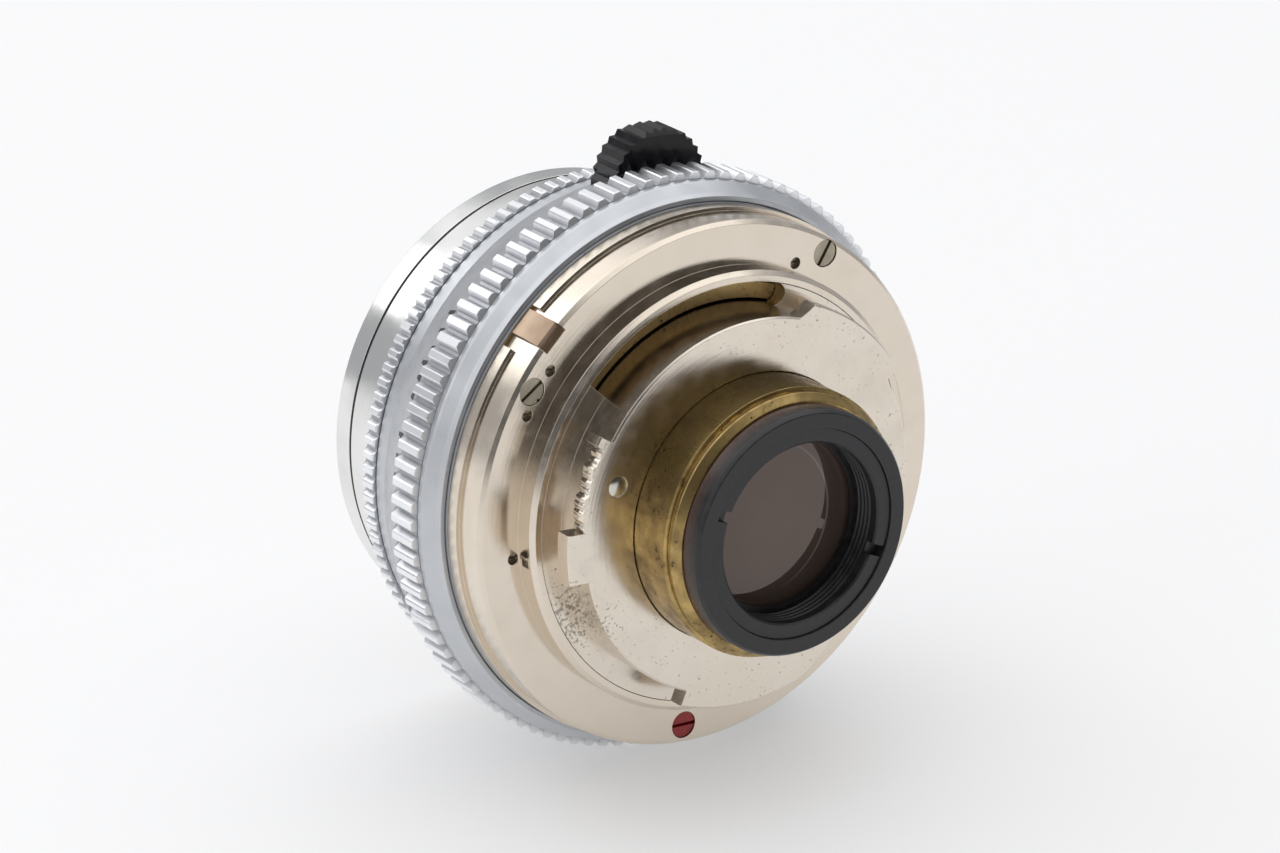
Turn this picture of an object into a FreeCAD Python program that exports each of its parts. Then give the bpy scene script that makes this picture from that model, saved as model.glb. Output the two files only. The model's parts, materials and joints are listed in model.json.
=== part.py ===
import FreeCAD, Part
import math
import os

# Interchangeable camera lens with a three-lug rear bayonet, in millimetres.
# The optical axis is the Y axis: +Y points to the camera, -Y to the subject.
# The origin is on the optical axis, in the rear face of the bayonet flange.
# +Z is up as the lens lies on its side. Angles about the axis run from +X towards +Z.

# Bayonet flange and its raised register ring
flange_radius = 24.05
flange_rim_radius = 24.4
flange_rim_width = 1.25
flange_thickness = 4.35
flange_edge = 0.35
register_radius = 20.1
register_height = 2.1
register_bore_radius = 19.15
register_edge = 0.4

# Lug ring, clamped between the flange and the mount housing
lug_seat_clearance = 0.05
lug_collar_thickness = 1.2
lug_collar_front = -2.2
lug_skirt_radius = 20.0
lug_skirt_wall = 0.8
lug_tube_radius = 17.1
lug_tube_wall = 1.3
lug_plate_height = 6.0
lug_plate_thickness = 1.4
lug_radius = 18.5
key_lug_radius = 19.0
worn_lug_radius = 17.4
lug_thickness = 1.6
upper_lug = (112.0, 150.0, 4.0)
lower_lug = (-108.0, -67.0, 20.0)
key_lug = (-9.0, 5.0, 1.5)
worn_lug = (5.0, 30.0, 0.5)
lug_stub = (30.0, 32.5, 1.0)
plate_edge = 0.15
overlap_allowance = 0.02
coupling_slot_angles = (43.0, 107.5)
lug_pin_radius = 0.95
lug_pin_place = (14.73, 19.9)
lug_root_depth = 0.3
lug_ramp_knee = (0.35, 0.55)
pin_proud = 0.14
pin_dome_radius = 2.2

# Screws of the mount: distance from the axis, angle and turn of the slot
flange_screw_places = ((22.5, 34.6, 146.0), (22.65, 123.0, 123.0))
index_screw_place = (22.3, -83.1, 3.0)
screw_head_radius = 1.2
screw_head_height = 0.8
screw_shank_radius = 0.8
screw_slot_width = 0.32
screw_slot_depth = 0.35
screw_sink = 0.12
screw_clearance = 0.05
set_screw_places = ((21.94, 40.6), (21.85, 29.4), (20.83, 115.9), (20.72, -5.6))
set_screw_radius = 0.48
set_screw_depth = 0.85
set_screw_sink = 0.45
register_notch_angle = -6.3
register_notch_width = 0.95
register_notch_height = 1.0
register_notch_front = 0.35
register_notch_depth = 0.45

# Locating key in the flange's rim
key_angle = 46.3
key_width = 2.55
key_front = -flange_thickness + 0.3
key_rear = -0.75
key_break = -2.4
key_top_radius = 24.45
key_rear_top_radius = 24.0
key_seat_radius = 23.2
key_clearance = 0.04

# Mount housing behind the flange, with the rim that carries the focus ring
shim_thickness = 0.1
shim_bore_gap = 0.2
shim_rim_inset = 0.15
housing_neck_radius = 24.4
housing_rim_radius = 24.95
housing_rim_rear = -flange_thickness - 1.27
housing_front = housing_rim_rear - 0.88
housing_bore_radius = 18.4
running_clearance = 0.05

# Focus ring: teeth, scale cone and screwed-on rear bezel
focus_tooth_count = 100
focus_tip_radius = 26.6
focus_root_radius = 25.99
focus_tooth_rear = housing_front - 0.31
focus_tooth_front = focus_tooth_rear - 3.48
focus_cone_front = focus_tooth_front - 4.31
focus_cone_front_radius = 24.3
focus_bore_radius = 22.05
focus_shoulder_rear = housing_front - 0.05
bezel_skirt_radius = 25.5
bezel_skirt_front = focus_tooth_rear - 1.19
bezel_rear = -flange_thickness - 0.4
bezel_rear_radius = 24.85
bezel_lip_clearance = 0.15
bezel_lip_edge = 0.1
bezel_root_step = 0.05
bezel_flank = ((0.927, 0.223), (0.55, 0.587), (0.183, 0.879))
joint_gap = 0.05
focus_turn = 180.0
focus_cone_rise = 0.45
focus_cone_step = 0.2
focus_tooth_run_out = 0.6
focus_tooth_land = 0.36
focus_tooth_floor = 0.14
focus_stop_radius = 0.3
focus_stop_distance = 23.9
focus_stop_angle = -88.0
focus_stop_height = 0.55
focus_stop_clearance = 0.08

# Finger grips on the focus ring
grip_angles = (95.0, -118.6)
grip_radius = 4.9
grip_centre_radius = 24.6
grip_rear = focus_tooth_front - 0.46
grip_front = grip_rear - 3.35
grip_ribs = 15
grip_rib_depth = 0.32
grip_gap = 0.35
grip_edge = 0.6
grip_pin_radius = 0.6
grip_pin_spacing = 5.0
grip_pin_inner_radius = 23.0
grip_pin_outer_radius = 26.8

# Aperture ring
aperture_tooth_count = 114
aperture_tip_radius = 24.35
aperture_root_radius = 23.93
aperture_rear = focus_cone_front - 2.03
aperture_front = aperture_rear - 1.59
aperture_bearing_radius = 22.6

# Optics unit: helicoid carrier, index band and chrome front barrel
carrier_radius = 22.0
carrier_wall = 1.4
carrier_rear = housing_front - 0.5
carrier_front = aperture_front - 0.08
carrier_web_rear = carrier_front + 7.8
carrier_web_thickness = 2.0
carrier_step_rear = carrier_front + 4.9
carrier_step_radius = 19.0
index_band_radius = 23.9
index_band_rear = focus_cone_front - 0.1
index_band_front = aperture_rear + 0.08
barrel_radius = 21.5
barrel_wall = 1.3
barrel_collar_radius = 22.9
barrel_collar_width = 0.5
barrel_spigot_rear = aperture_front + 0.62
groove_rear = aperture_front - 6.23
groove_width = 0.32
groove_depth = 0.4
barrel_front = groove_rear - 2.65
filter_thread_radius = 19.75
filter_thread_length = 1.6
front_shoulder = groove_rear + 1.05
front_shoulder_radius = 19.4

# Straight guide that keeps the optics unit from turning
guide_angle = -90.0
guide_width = 3.0
guide_inner_radius = 19.3
guide_outer_radius = 21.2
guide_front = housing_front - 6.5
guide_foot_inner_radius = 19.3
guide_foot_outer_radius = 21.3
guide_foot_width = 8.0
guide_foot_thickness = 0.4
guide_clearance = 0.05
guide_screw_radius = 0.45
guide_screw_offset = 2.7
guide_screw_length = 1.5

# Rear lens tube and its black rear cell
tube_radius = 12.15
tube_bore_radius = 10.7
tube_front = carrier_front + 3.95
tube_groove_rear = 10.72
tube_groove_front = 10.4
tube_groove_radius = 11.75
tube_rim_radius = 11.95
tube_rear_radius = 11.3
tube_rear = 11.7
plate_clearance = 0.15
cell_clearance = 0.05
rear_cell_front = -3.0
rear_cell_flange_radius = 11.15
rear_cell_rear_radius = 10.9
rear_cell_rear = 13.7
rear_cell_bore_radius = 9.5
rear_cell_seat_radius = 8.4
rear_ring_outer_radius = 9.45
rear_ring_bore_radius = 8.15
rear_ring_lip_radius = 7.7
rear_ring_rear = 13.5
rear_ring_front = 10.1
rear_ring_lip_rear = 10.65
thread_pitch = 0.5
thread_depth = 0.16
spanner_slot_angle = 23.0
spanner_slot_width = 1.0
spanner_slot_depth = 0.8

# Iris
blade_count = 5
blade_thickness = 0.14
blade_spacing = 0.26
blade_inner_radius = 7.9
blade_outer_radius = 11.6
blade_span = (-5.0, 96.0)
blade_pivot_radius = 12.5
blade_pin_radius = 0.3
blade_pin_arm = 2.5
blade_ear_radius = 0.75
blade_turn = 30.0
aperture_turn = 50.0
iris_base_rear = tube_front - 0.05
iris_base_thickness = 1.0
iris_base_radius = 20.5
iris_opening_radius = 8.2
iris_wall_radius = 15.0
iris_wall = 1.2
iris_first_blade = iris_base_rear - 1.1
drive_ring_rear = iris_base_rear - 2.45
drive_ring_front = drive_ring_rear - 0.55
drive_ring_inner_radius = 11.6
drive_ring_outer_radius = 14.9
iris_cover_rear = drive_ring_front - 0.1
iris_cover_front = iris_cover_rear - 0.6
iris_screw_radius = 0.4
iris_screw_angles = (30.0, 150.0, 270.0)
iris_screw_length = 2.0

# Link from the aperture ring to the drive ring and the rear coupling ring
link_angle = 175.0
link_width = 3.0
link_bar_width = 1.6
link_bar_inner_radius = 17.35
link_bar_outer_radius = 18.2
link_bar_rear = -2.6
link_gap = 0.15
coupling_rear = lug_collar_front - 0.1
coupling_flange_front = -4.3
coupling_inner_radius = 17.3
coupling_outer_radius = 19.1
coupling_sleeve_radius = 18.3
coupling_front = -6.4
coupling_rib_radius = 18.7
coupling_rib_rear = 0.6
coupling_rib_gap = 0.08
coupling_inner_gap = 0.15

# Front lens group
front_cell_radius = 20.15
front_cell_flange = 1.0
front_cell_tube_radius = 15.3
front_cell_rear = iris_cover_front - 0.15
name_ring_front = barrel_front + 1.9
name_ring_inner_radius = 14.4
front_glass_radius = 13.7
front_glass_front = name_ring_front - 0.1
front_glass_thickness = 3.4
front_glass_bulge = 2.2
front_glass_hollow = 0.6
front_doublet_radius = 11.6
front_doublet_rear = front_cell_rear - 0.7
front_doublet_thickness = 1.8
front_doublet_curve = 0.5
front_doublet_seat_gap = 0.1
front_ring_height = 0.6
front_ring_width = 1.6
rear_doublet_radius = 9.6
rear_doublet_front = -10.5
rear_doublet_thickness = 5.0
rear_glass_radius = 9.4
rear_glass_thickness = 3.2
rear_glass_bulge = 0.6
rear_glass_hollow = 0.05
glass_gap = 0.04

ORIGIN = FreeCAD.Vector(0, 0, 0)
OPTICAL_AXIS = FreeCAD.Vector(0, 1, 0)


def polar(radius, degrees, y=0.0):
    """Point at a distance and an angle about the optical axis."""
    turn = math.radians(degrees)
    return FreeCAD.Vector(radius * math.cos(turn), y, radius * math.sin(turn))


def around(shape, degrees, centre=ORIGIN):
    """Copy of a shape, turned from +X towards +Z about an axis along Y."""
    copy = shape.copy()
    copy.rotate(centre, OPTICAL_AXIS, -degrees)
    return copy


def turned(profile, start=0.0, sweep=360.0):
    """Solid of revolution about the optical axis from corners (radius, y)."""
    corners = [FreeCAD.Vector(radius, y, 0) for radius, y in profile]
    face = Part.Face(Part.makePolygon(corners + [corners[0]]))
    return around(face.revolve(ORIGIN, OPTICAL_AXIS, -sweep), start)


def ring(inner, outer, y_low, y_high, start=0.0, sweep=360.0):
    """Plain ring, or a sector of one, between two stations on the axis."""
    profile = ((inner, y_low), (outer, y_low), (outer, y_high), (inner, y_high))
    return turned(profile, start, sweep)


def rod(radius, y_low, y_high, distance=0.0, degrees=0.0):
    """Round rod parallel to the optical axis."""
    base = polar(distance, degrees, y_low)
    return Part.makeCylinder(radius, y_high - y_low, base, OPTICAL_AXIS)


def radial_box(width, inner, outer, y_low, y_high, degrees):
    """Box that reaches out along a radius."""
    box = Part.makeBox(outer - inner, y_high - y_low, width, FreeCAD.Vector(inner, y_low, -width / 2))
    return around(box, degrees)


def export(name, shape):
    """Write one node, cleaned of seams that booleans leave."""
    shape = shape.removeSplitter()
    solids = shape.Solids
    if not solids:
        raise ValueError(name + " has no solid")
    result = solids[0] if len(solids) == 1 else Part.makeCompound(solids)
    result.exportStep(os.path.join("parts", name + ".step"))


def toothed_disc(count, root, tip, land, floor, y_low, y_high):
    """Disc with straight trapezoid teeth; land and floor are shares of the pitch."""
    corners = []
    pitch = 360.0 / count
    for index in range(count):
        centre = index * pitch
        for radius, offset in ((root, floor / 2 - 0.5), (tip, -land / 2), (tip, land / 2), (root, 0.5 - floor / 2)):
            corners.append(polar(radius, centre + offset * pitch, y_low))
    face = Part.Face(Part.makePolygon(corners + [corners[0]]))
    return face.extrude(FreeCAD.Vector(0, y_high - y_low, 0))


def slotted_screw(head_radius, head_height, shank_radius, length, slot_turn):
    """Cheese-head screw with its head's top at y = 0, pointing to -Y."""
    head = rod(head_radius, -head_height, 0)
    shank = rod(shank_radius, -length, -head_height)
    reach = head_radius + 1
    slot = Part.makeBox(2 * reach, screw_slot_depth, screw_slot_width,
                        FreeCAD.Vector(-reach, -screw_slot_depth, -screw_slot_width / 2))
    return head.fuse(shank).cut(around(slot, slot_turn))


def placed(shape, distance, degrees, y=0.0):
    """Copy of a shape, moved to a distance and an angle about the axis."""
    copy = shape.copy()
    copy.translate(polar(distance, degrees, y))
    return copy


def lens_element(radius, front_vertex, rear_vertex, front_bulge, rear_bulge):
    """Glass with spherical faces; a bulge is how far a face stands out at its middle."""
    front_edge = front_vertex + front_bulge
    rear_edge = rear_vertex - rear_bulge
    half = radius * 0.5
    front_mid = FreeCAD.Vector(half, front_vertex + arc_rise(radius, front_bulge, half), 0)
    rear_mid = FreeCAD.Vector(half, rear_vertex - arc_rise(radius, rear_bulge, half), 0)
    front_axis = FreeCAD.Vector(0, front_vertex, 0)
    front_rim = FreeCAD.Vector(radius, front_edge, 0)
    rear_axis = FreeCAD.Vector(0, rear_vertex, 0)
    rear_rim = FreeCAD.Vector(radius, rear_edge, 0)
    edges = [Part.Arc(front_axis, front_mid, front_rim).toShape(),
             Part.LineSegment(front_rim, rear_rim).toShape(),
             Part.Arc(rear_rim, rear_mid, rear_axis).toShape(),
             Part.LineSegment(rear_axis, front_axis).toShape()]
    return Part.Face(Part.Wire(edges)).revolve(ORIGIN, OPTICAL_AXIS, 360)


def arc_rise(radius, bulge, distance):
    """Drop from the vertex of a spherical face at a distance from the axis."""
    curve = (radius * radius + bulge * bulge) / (2 * abs(bulge))
    return math.copysign(curve - math.sqrt(curve * curve - distance * distance), bulge)


# Mount group

shim_front = -flange_thickness - shim_thickness
flange_screw_length = -housing_front - screw_sink - 0.1


def bayonet_flange():
    """Flange disc with rim, register ring, key slot and screw holes."""
    rim_rear = -flange_thickness + flange_rim_width
    counterbore = lug_skirt_radius + lug_seat_clearance
    ledge = -lug_collar_thickness
    body = turned(((counterbore, -flange_thickness), (flange_rim_radius, -flange_thickness),
                   (flange_rim_radius, rim_rear), (flange_radius, rim_rear),
                   (flange_radius, -flange_edge), (flange_radius - flange_edge, 0),
                   (register_radius, 0), (register_radius, register_height - register_edge),
                   (register_radius - register_edge, register_height),
                   (register_bore_radius, register_height), (register_bore_radius, ledge),
                   (counterbore, ledge)))
    slot_width = key_width + 2 * key_clearance
    cuts = [radial_box(slot_width, key_seat_radius, flange_rim_radius + 1, -flange_thickness, 0, key_angle)]
    cuts.append(ring(flange_radius, flange_rim_radius + 1, -flange_thickness, rim_rear,
                     key_angle - 6.0, 10.0))
    for distance, degrees, _ in flange_screw_places + (index_screw_place,):
        cuts.append(rod(screw_shank_radius + screw_clearance, -flange_thickness, 0, distance, degrees))
        cuts.append(rod(screw_head_radius + screw_clearance, -screw_head_height - screw_sink, 0,
                        distance, degrees))
    for distance, degrees in set_screw_places:
        cuts.append(rod(set_screw_radius + screw_clearance, -set_screw_depth, 0, distance, degrees))
    cuts.append(radial_box(register_notch_width, register_radius - register_notch_depth, register_radius + 1,
                           register_notch_front, register_notch_front + register_notch_height,
                           register_notch_angle))
    return body.cut(cuts)


def lug(place, radius):
    """Lug of the bayonet: full radius from low to high, and a ramp down before low."""
    low, high, ramp = place
    lug_root = lug_tube_radius - plate_edge - lug_root_depth
    front = lug_plate_height - lug_thickness
    body = turned(((lug_root, front), (radius, front), (radius, lug_plate_height - plate_edge),
                   (radius - plate_edge, lug_plate_height), (lug_root, lug_plate_height)),
                  low - ramp, high - low + ramp)
    knee_radius = lug_tube_radius + (radius - lug_tube_radius) * lug_ramp_knee[0]
    knee_angle = low - ramp * lug_ramp_knee[1]
    foot = lug_tube_radius - overlap_allowance
    places = ((radius + 1, low - ramp - 1), (radius + 1, low), (radius, low), (knee_radius, knee_angle),
              (foot, low - ramp), (foot, low - ramp - 1))
    cutter = [polar(distance, degrees, front - 1) for distance, degrees in places]
    face = Part.Face(Part.makePolygon(cutter + [cutter[0]]))
    return body.cut(face.extrude(FreeCAD.Vector(0, lug_thickness + 2, 0)))


def bayonet_lug_ring():
    """Lug plate on its tube, with the collar and skirt that the housing clamps."""
    collar_radius = register_bore_radius - lug_seat_clearance
    inner = lug_tube_radius - lug_tube_wall
    skirt_inner = lug_skirt_radius - lug_skirt_wall
    collar_front = lug_collar_front
    plate_bore = tube_radius + plate_clearance
    under_plate = lug_plate_height - lug_plate_thickness
    body = turned(((inner, collar_front), (skirt_inner, collar_front), (skirt_inner, -flange_thickness),
                   (lug_skirt_radius, -flange_thickness), (lug_skirt_radius, -lug_collar_thickness),
                   (collar_radius, -lug_collar_thickness), (collar_radius, register_height),
                   (lug_tube_radius, register_height), (lug_tube_radius, lug_plate_height - plate_edge),
                   (lug_tube_radius - plate_edge, lug_plate_height),
                   (plate_bore, lug_plate_height), (plate_bore, under_plate), (inner, under_plate)))
    lugs = [lug(upper_lug, lug_radius), lug(lower_lug, lug_radius), lug(key_lug, key_lug_radius),
            lug(worn_lug, worn_lug_radius), lug(lug_stub, lug_radius)]
    low, high = coupling_slot_angles
    slot = ring(lug_tube_radius, collar_radius + overlap_allowance, collar_front - 1, register_height + 1,
                low, high - low)
    slot_end = rod((collar_radius - lug_tube_radius) / 2, collar_front - 1, register_height + 1,
                   (collar_radius + lug_tube_radius) / 2, high)
    pin_distance, pin_angle = lug_pin_place
    pin_hole = rod(lug_pin_radius, under_plate - 1, lug_plate_height + 1, pin_distance, pin_angle)
    channel = ring(coupling_inner_radius - coupling_inner_gap, coupling_rib_radius + coupling_rib_gap,
                   collar_front - 1, coupling_rib_rear + coupling_rib_gap)
    return body.fuse(lugs).cut([slot, slot_end, channel, pin_hole])


def lug_plate_pin():
    """Riveted stop pin in the lug plate, with a low domed end."""
    distance, degrees = lug_pin_place
    under_plate = lug_plate_height - lug_plate_thickness
    pin = rod(lug_pin_radius, under_plate, lug_plate_height + 2 * pin_proud)
    dome = Part.makeSphere(pin_dome_radius, FreeCAD.Vector(0, lug_plate_height + pin_proud - pin_dome_radius, 0))
    return placed(pin.common(dome), distance, degrees)


def locating_key():
    """Bronze key in the flange's rim; its rear half is bevelled."""
    profile = ((key_seat_radius, key_front), (key_top_radius, key_front), (key_top_radius, key_break),
               (key_rear_top_radius, key_rear), (key_seat_radius, key_rear))
    corners = [FreeCAD.Vector(radius, y, -key_width / 2) for radius, y in profile]
    face = Part.Face(Part.makePolygon(corners + [corners[0]]))
    return around(face.extrude(FreeCAD.Vector(0, 0, key_width)), key_angle)


def flange_shim():
    """Thin ring that sets the flange's distance; it has the flange's screw holes."""
    body = ring(lug_skirt_radius + shim_bore_gap, flange_rim_radius - shim_rim_inset, shim_front, -flange_thickness)
    holes = [rod(screw_shank_radius + screw_clearance, shim_front, -flange_thickness, distance, degrees)
             for distance, degrees, _ in flange_screw_places + (index_screw_place,)]
    return body.cut(holes)


def mount_housing():
    """Ring behind the flange; its outer rim is the bearing of the focus ring."""
    body = turned(((housing_bore_radius, housing_front), (housing_rim_radius, housing_front),
                   (housing_rim_radius, housing_rim_rear), (housing_neck_radius, housing_rim_rear),
                   (housing_neck_radius, shim_front), (lug_skirt_radius + shim_bore_gap, shim_front),
                   (lug_skirt_radius + shim_bore_gap, -flange_thickness), (housing_bore_radius, -flange_thickness)))
    holes = [rod(screw_shank_radius, -flange_screw_length - screw_sink, 0, distance, degrees)
             for distance, degrees, _ in flange_screw_places + (index_screw_place,)]
    holes.extend(guide_screw_rods(guide_foot_thickness))
    margin = math.degrees((focus_stop_radius + focus_stop_clearance) / focus_stop_distance)
    reach = focus_stop_radius + focus_stop_clearance
    holes.append(ring(focus_stop_distance - reach, focus_stop_distance + reach, housing_front,
                      housing_front + focus_stop_height + focus_stop_clearance,
                      focus_stop_angle - margin, focus_turn + 2 * margin))
    return body.cut(holes)


def flange_screws():
    """Two plain cheese-head screws of the flange."""
    screws = []
    for distance, degrees, slot_turn in flange_screw_places:
        screw = slotted_screw(screw_head_radius, screw_head_height, screw_shank_radius,
                              flange_screw_length, slot_turn)
        screws.append(placed(screw, distance, degrees, -screw_sink))
    return Part.makeCompound(screws)


def red_index_screw():
    """Third flange screw, painted red as the index for fitting the lens."""
    distance, degrees, slot_turn = index_screw_place
    screw = slotted_screw(screw_head_radius, screw_head_height, screw_shank_radius,
                          flange_screw_length, slot_turn)
    return placed(screw, distance, degrees, -screw_sink)


def flange_set_screws():
    """Four small headless screws, sunk in their threaded holes."""
    length = set_screw_depth - set_screw_sink
    screws = []
    for distance, degrees in set_screw_places:
        body = rod(set_screw_radius + screw_clearance, -length, 0)
        slot = Part.makeBox(4, 0.15, 0.2, FreeCAD.Vector(-2, -0.15, -0.1))
        screws.append(placed(body.cut(slot), distance, degrees, -set_screw_sink))
    return Part.makeCompound(screws)


def straight_guide():
    """Steel key on the housing that slides in the carrier's keyway."""
    key = radial_box(guide_width, guide_inner_radius, guide_outer_radius, guide_front,
                     housing_front, guide_angle)
    foot = radial_box(guide_foot_width, guide_foot_inner_radius, guide_foot_outer_radius,
                      housing_front - guide_foot_thickness, housing_front, guide_angle)
    return key.fuse(foot).cut(guide_screw_rods(guide_foot_thickness))


def guide_screw_rods(height):
    """Two rods at the guide's screws, from its foot's front face to the rear."""
    rods = []
    for side in (-1, 1):
        screw = rod(guide_screw_radius, housing_front - height, housing_front + guide_screw_length,
                    (guide_foot_inner_radius + guide_foot_outer_radius) / 2, 0)
        screw.translate(FreeCAD.Vector(0, 0, side * guide_screw_offset))
        rods.append(around(screw, guide_angle))
    return rods


def guide_screws():
    """Two small screws that hold the straight guide's foot, flush with its face."""
    screws = []
    slot_low = housing_front - guide_foot_thickness
    for screw in guide_screw_rods(guide_foot_thickness):
        centre = screw.CenterOfMass
        groove = Part.makeBox(4, 0.2, 0.2, FreeCAD.Vector(centre.x - 2, slot_low, centre.z - 0.1))
        screws.append(screw.cut(groove))
    return Part.makeCompound(screws)


# Focus group

def focus_cone_radius(y):
    """Radius of the scale cone at a station on the axis."""
    share = (focus_tooth_rear - y) / (focus_tooth_rear - focus_cone_front)
    start = focus_root_radius + (focus_root_radius - focus_cone_front_radius) * focus_cone_rise
    radius = start + (focus_cone_front_radius - start) * share
    return min(radius, focus_root_radius)


def focus_outline():
    """Outside of the focus ring under its teeth, as a solid."""
    front_of_teeth = focus_cone_radius(focus_tooth_front)
    return turned(((0, focus_tooth_rear), (focus_root_radius, focus_tooth_rear),
                   (focus_root_radius, focus_tooth_front + focus_tooth_run_out),
                   (front_of_teeth, focus_tooth_front - focus_cone_step),
                   (focus_cone_front_radius, focus_cone_front), (0, focus_cone_front)))


def focus_ring():
    """Toothed focus ring with its scale cone and helicoid bore."""
    teeth_end = focus_tooth_front - 2 * focus_cone_step
    teeth = toothed_disc(focus_tooth_count, focus_root_radius - overlap_allowance, focus_tip_radius,
                         focus_tooth_land, focus_tooth_floor, teeth_end, focus_tooth_rear)
    envelope = turned(((0, focus_tooth_rear), (focus_tip_radius + 1, focus_tooth_rear),
                       (focus_tip_radius + 1, focus_tooth_front + 2 * focus_tooth_run_out),
                       (focus_cone_radius(teeth_end), teeth_end), (0, teeth_end)))
    body = focus_outline().fuse(teeth.common(envelope))
    shoulder = ring(focus_bore_radius, housing_rim_radius - joint_gap, focus_tooth_rear - 1, focus_shoulder_rear)
    skirt_room = ring(housing_rim_radius, bezel_skirt_radius, bezel_skirt_front, focus_tooth_rear)
    bore = rod(focus_bore_radius, focus_cone_front, 0)
    stop_hole = rod(focus_stop_radius, focus_shoulder_rear - 1, focus_shoulder_rear, focus_stop_distance,
                    focus_stop_angle)
    return body.cut([bore, skirt_room]).fuse(shoulder).cut(grip_pin_rods() + [stop_hole])


def focus_stop_pin():
    """Pin on the focus ring's rear face that runs in the housing's arc groove."""
    return rod(focus_stop_radius, focus_shoulder_rear - 1, housing_front + focus_stop_height,
               focus_stop_distance, focus_stop_angle)


def rear_bezel():
    """Satin ring screwed into the focus ring; its lip traps the housing's rim."""
    lip_radius = housing_neck_radius + bezel_lip_clearance
    rim_room = housing_rim_radius + running_clearance
    lip_front = housing_rim_rear + joint_gap
    root = focus_root_radius - bezel_root_step
    flank = [(bezel_rear_radius + outward * (root - bezel_rear_radius),
              focus_tooth_rear + upward * (bezel_rear - focus_tooth_rear)) for outward, upward in bezel_flank]
    return turned(((rim_room, bezel_skirt_front), (bezel_skirt_radius, bezel_skirt_front),
                   (bezel_skirt_radius, focus_tooth_rear), (root, focus_tooth_rear), *flank,
                   (bezel_rear_radius, bezel_rear), (lip_radius + bezel_lip_edge, bezel_rear),
                   (lip_radius, bezel_rear - bezel_lip_edge), (lip_radius, lip_front), (rim_room, lip_front)))


def finger_grip(degrees):
    """Ribbed half-round grip on a foot that follows the focus ring."""
    corners = []
    steps = 2 * grip_ribs
    for index in range(steps + 1):
        radius = grip_radius - grip_rib_depth * (index % 2)
        turn = math.radians(-90 + 180.0 * index / steps)
        corners.append(FreeCAD.Vector(grip_centre_radius + radius * math.cos(turn), grip_front,
                                      radius * math.sin(turn)))
    corners.append(FreeCAD.Vector(0, grip_front, grip_radius))
    corners.append(FreeCAD.Vector(0, grip_front, -grip_radius))
    face = Part.Face(Part.makePolygon(corners + [corners[0]]))
    knob = face.extrude(FreeCAD.Vector(0, grip_rear - grip_front, 0))
    crown_radius = grip_centre_radius + grip_radius
    crown = turned(((0, grip_front), (crown_radius - grip_edge, grip_front),
                    (crown_radius, grip_front + grip_edge), (crown_radius, grip_rear - grip_edge),
                    (crown_radius - grip_edge, grip_rear), (0, grip_rear)))
    body = around(knob.common(crown), degrees)
    band_room = rod(index_band_radius + grip_gap, grip_front - 1, focus_cone_front)
    return body.cut([band_room, focus_outline()] + grip_pin_rods())


def grip_pin_rods():
    """Two radial pins for each grip, side by side along the scale cone's rim."""
    station = (grip_rear + focus_cone_front) / 2
    pins = []
    for degrees in grip_angles:
        for side in (-0.5, 0.5):
            pin = Part.makeCylinder(grip_pin_radius, grip_pin_outer_radius - grip_pin_inner_radius,
                                    FreeCAD.Vector(grip_pin_inner_radius, station, side * grip_pin_spacing),
                                    FreeCAD.Vector(1, 0, 0))
            pins.append(around(pin, degrees))
    return pins


# Aperture group

def link_arc(inner, outer, y_low, y_high, width):
    """Room that a part of the link sweeps as the aperture ring turns."""
    half = math.degrees(width / 2 / inner) + 0.8
    return ring(inner, outer, y_low, y_high, link_angle - half, aperture_turn + 2 * half)


def aperture_ring():
    """Narrow toothed ring that runs on the index band."""
    teeth = toothed_disc(aperture_tooth_count, aperture_root_radius, aperture_tip_radius, 0.42, 0.22,
                         aperture_front, aperture_rear)
    bore = rod(aperture_bearing_radius + running_clearance, aperture_front, aperture_rear)
    return teeth.cut(bore)


def aperture_link():
    """Bent steel link: an arm from the aperture ring to the drive ring, and a bar to the rear."""
    arm = radial_box(link_width, drive_ring_outer_radius, aperture_bearing_radius + running_clearance,
                     drive_ring_front, drive_ring_rear, link_angle)
    arm = arm.cut(rod(drive_ring_outer_radius, drive_ring_front, drive_ring_rear))
    arm = arm.common(rod(aperture_bearing_radius + running_clearance, drive_ring_front, drive_ring_rear))
    bar = radial_box(link_bar_width, link_bar_inner_radius, link_bar_outer_radius,
                     drive_ring_front, link_bar_rear, link_angle)
    return arm.fuse(bar)


def blade_pin_centre():
    """Place of a blade's drive pin in the iris's first blade, fully open."""
    return FreeCAD.Vector(blade_pivot_radius, 0, -blade_pin_arm)


def drive_ring():
    """Ring with a cam slot for each blade's drive pin."""
    body = ring(drive_ring_inner_radius, drive_ring_outer_radius, drive_ring_front, drive_ring_rear)
    steps = 26
    slot_radius = blade_pin_radius + running_clearance
    pivot = FreeCAD.Vector(blade_pivot_radius, 0, 0)
    centres = []
    for index in range(-1, steps + 2):
        share = index / steps
        point = Part.Vertex(blade_pin_centre())
        point = around(around(point, share * blade_turn, pivot), -share * aperture_turn)
        centres.append(point.Point)
    curve = Part.BSplineCurve()
    curve.interpolate(centres)
    outline = slot_outline(curve, slot_radius)
    slot = outline.extrude(FreeCAD.Vector(0, drive_ring_rear - drive_ring_front + 2, 0))
    slot.translate(FreeCAD.Vector(0, drive_ring_front - 1, 0))
    slots = [around(slot, index * 360.0 / blade_count) for index in range(blade_count)]
    return body.cut(slots)


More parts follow.
